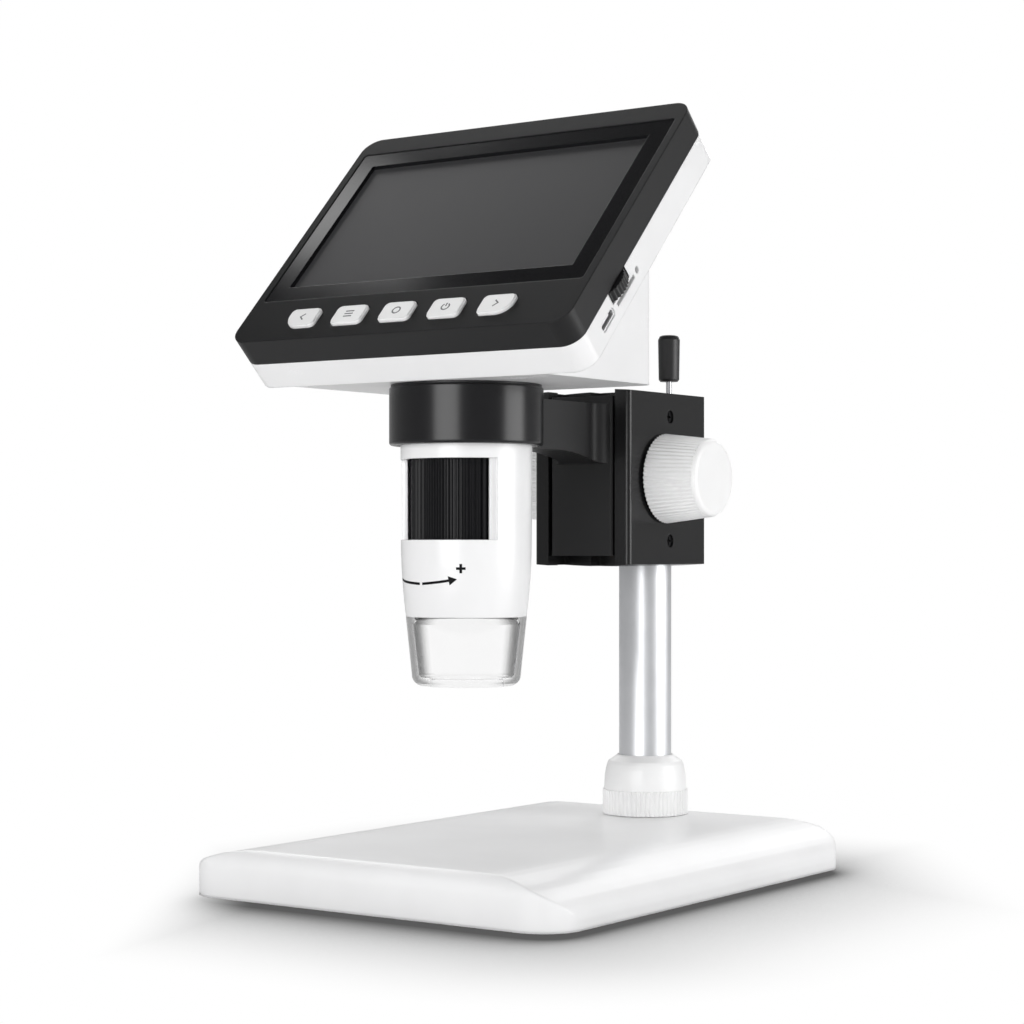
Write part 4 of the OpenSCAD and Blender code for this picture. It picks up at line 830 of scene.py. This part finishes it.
class MICROSCOPE_OT_stage(bpy.types.Operator):
    """Set up the floor, the even light, the lamps and the camera"""

    bl_idname = "microscope.set_stage"
    bl_label = "Set the stage"

    def execute(self, context):
        studio = context.scene.microscope_studio
        context.scene.view_settings.view_transform = "Standard"
        self.make_world(context.scene, studio)
        self.make_floor(studio)
        for name, (place, aim, width, height) in LAMPS.items():
            self.lamp(f"{name}_light", getattr(studio, name), place, aim, width, height)
        self.make_camera(context.scene, studio)
        return {"FINISHED"}

    def make_world(self, scene, studio):
        """Even light, a dim ceiling for gloss to mirror, and white behind the object."""
        scene.world = bpy.data.worlds.new("studio")
        g = Graph("studio", scene.world)
        seen, gloss = g.rays("Camera", "Transmission"), g.rays("Glossy")
        _x, _y, height = g.parts(g.node("ShaderNodeTexCoord"))
        walls = g.soft_step(height, *WALL_TOP, low=studio.walls, high=CEILING)
        light = gloss * walls + (1 - gloss) * studio.ambient
        strength = seen + (1 - seen) * light
        sky = g.node("ShaderNodeBackground", inputs={"Color": (1, 1, 1), "Strength": strength})
        g.node("ShaderNodeOutputWorld", inputs={"Surface": sky})

    def make_floor(self, studio):
        """A pale floor that keeps the object's shadow, adds painted shadow near it by ambient
        occlusion, and is plain white further off.
        """
        bm = bmesh.new()
        bmesh.ops.create_circle(bm, cap_ends=True, segments=64, radius=FLOOR_RADIUS)
        mesh = bpy.data.meshes.new("floor")
        bm.to_mesh(mesh)
        bm.free()
        floor = bpy.data.objects.new("floor", mesh)
        bpy.context.scene.collection.objects.link(floor)
        g = Graph("floor_white")
        seen = g.rays("Camera", "Transmission")
        _low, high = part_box("base_shell")
        x, y, _z = g.parts(g.place())
        side = g.function("MAXIMUM", g.function("ABSOLUTE", x) - high.x / MM, 0.0)
        end = g.function("MAXIMUM", g.function("ABSOLUTE", y) - high.y / MM, 0.0)
        away = g.function("SQRT", side * side + end * end)
        across = math.cos(FADE_TURN) * x + math.sin(FADE_TURN) * y
        far = g.soft_step(away, 0.0, studio.far_floor / MM)
        off = g.function("MAXIMUM", far, g.soft_step(across, *FADE_RIGHT))
        off = g.function("MAXIMUM", off, g.soft_step(0.0 - across, *FADE_LEFT))
        # Painted shadow: ambient occlusion darkens the floor's paint near the object, on top of the
        # real shadow.
        sky = g.node("ShaderNodeAmbientOcclusion", {"samples": 16}, {"Distance": SHADE_REACH}, 1)
        tone = g.ramp(
            g.function("POWER", sky, SHADE_POWER), (0.0, FLOOR_SHADE), (1.0, FLOOR_OPEN)
        )
        paint = g.node(
            "ShaderNodeBsdfPrincipled",
            inputs={"Base Color": tone, "Roughness": 0.9, "Specular IOR Level": 0.1},
        )
        white = g.node("ShaderNodeEmission", inputs={"Color": (1, 1, 1), "Strength": 1.0})
        share = seen * (LEAST_WHITE + (1 - LEAST_WHITE) * off)
        mix = g.node("ShaderNodeMixShader", inputs={0: share, 1: paint, 2: white})
        g.node("ShaderNodeOutputMaterial", inputs={"Surface": mix})
        mesh.materials.append(g.owner)

    def lamp(self, name, power, place, target, width, height):
        """A soft rectangular lamp that looks at a point."""
        data = bpy.data.lights.new(name, "AREA")
        data.shape = "RECTANGLE"
        data.energy = power
        data.size = width
        data.size_y = height
        lamp = bpy.data.objects.new(name, data)
        lamp.location = place
        lamp.visible_camera = lamp.visible_transmission = False
        lamp.rotation_euler = (Vector(target) - Vector(place)).to_track_quat("-Z", "Y").to_euler()
        bpy.context.scene.collection.objects.link(lamp)

    def make_camera(self, scene, studio):
        """A level camera with a vertical shift, so that the uprights stay parallel."""
        data = bpy.data.cameras.new("camera")
        data.sensor_width = SENSOR_WIDTH
        data.lens = studio.camera_lens
        data.shift_y = studio.camera_rise
        data.clip_start, data.clip_end = CLIP
        camera = bpy.data.objects.new("camera", data)
        camera.matrix_world = (
            Matrix.Translation(studio.camera_place)
            @ Matrix.Rotation(studio.camera_azimuth, 4, "Z")
            @ Matrix.Rotation(math.radians(90), 4, "X")
        )
        scene.collection.objects.link(camera)
        scene.camera = camera


# ------------------------------------------------------------------ panel and registration

STEPS = (
    MICROSCOPE_OT_base,
    MICROSCOPE_OT_post,
    MICROSCOPE_OT_bracket,
    MICROSCOPE_OT_focus,
    MICROSCOPE_OT_carriage,
    MICROSCOPE_OT_screen,
    MICROSCOPE_OT_buttons,
    MICROSCOPE_OT_head,
    MICROSCOPE_OT_barrel,
    MICROSCOPE_OT_cap,
    MICROSCOPE_OT_inside,
    MICROSCOPE_OT_stage,
)


class MICROSCOPE_PT_panel(bpy.types.Panel):
    """Settings and steps of the microscope"""

    bl_idname = "MICROSCOPE_PT_panel"
    bl_label = "Microscope"
    bl_space_type = "VIEW_3D"
    bl_region_type = "UI"
    bl_category = "Microscope"

    def draw(self, context):
        scene = context.scene
        for group in (scene.microscope_colours, scene.microscope_sizes, scene.microscope_studio):
            box = self.layout.box()
            for name in group.__annotations__:
                box.prop(group, name)
        for step in STEPS:
            self.layout.operator(step.bl_idname)


GROUPS = {
    "microscope_colours": MicroscopeColours,
    "microscope_sizes": MicroscopeSizes,
    "microscope_studio": MicroscopeStudio,
}


def register():
    """Adds the settings, the steps and the panel."""
    for group in GROUPS.values():
        bpy.utils.register_class(group)
    for name, group in GROUPS.items():
        setattr(bpy.types.Scene, name, PointerProperty(type=group))
    for kind in (*STEPS, MICROSCOPE_PT_panel):
        bpy.utils.register_class(kind)


def unregister():
    """Takes them away again."""
    for kind in reversed((*STEPS, MICROSCOPE_PT_panel)):
        bpy.utils.unregister_class(kind)
    for name in GROUPS:
        delattr(bpy.types.Scene, name)
    for group in GROUPS.values():
        bpy.utils.unregister_class(group)


def main():
    """Runs every step."""
    register()
    for step in STEPS:
        group, name = step.bl_idname.split(".")
        getattr(getattr(bpy.ops, group), name)()


if __name__ == "__main__":
    main()
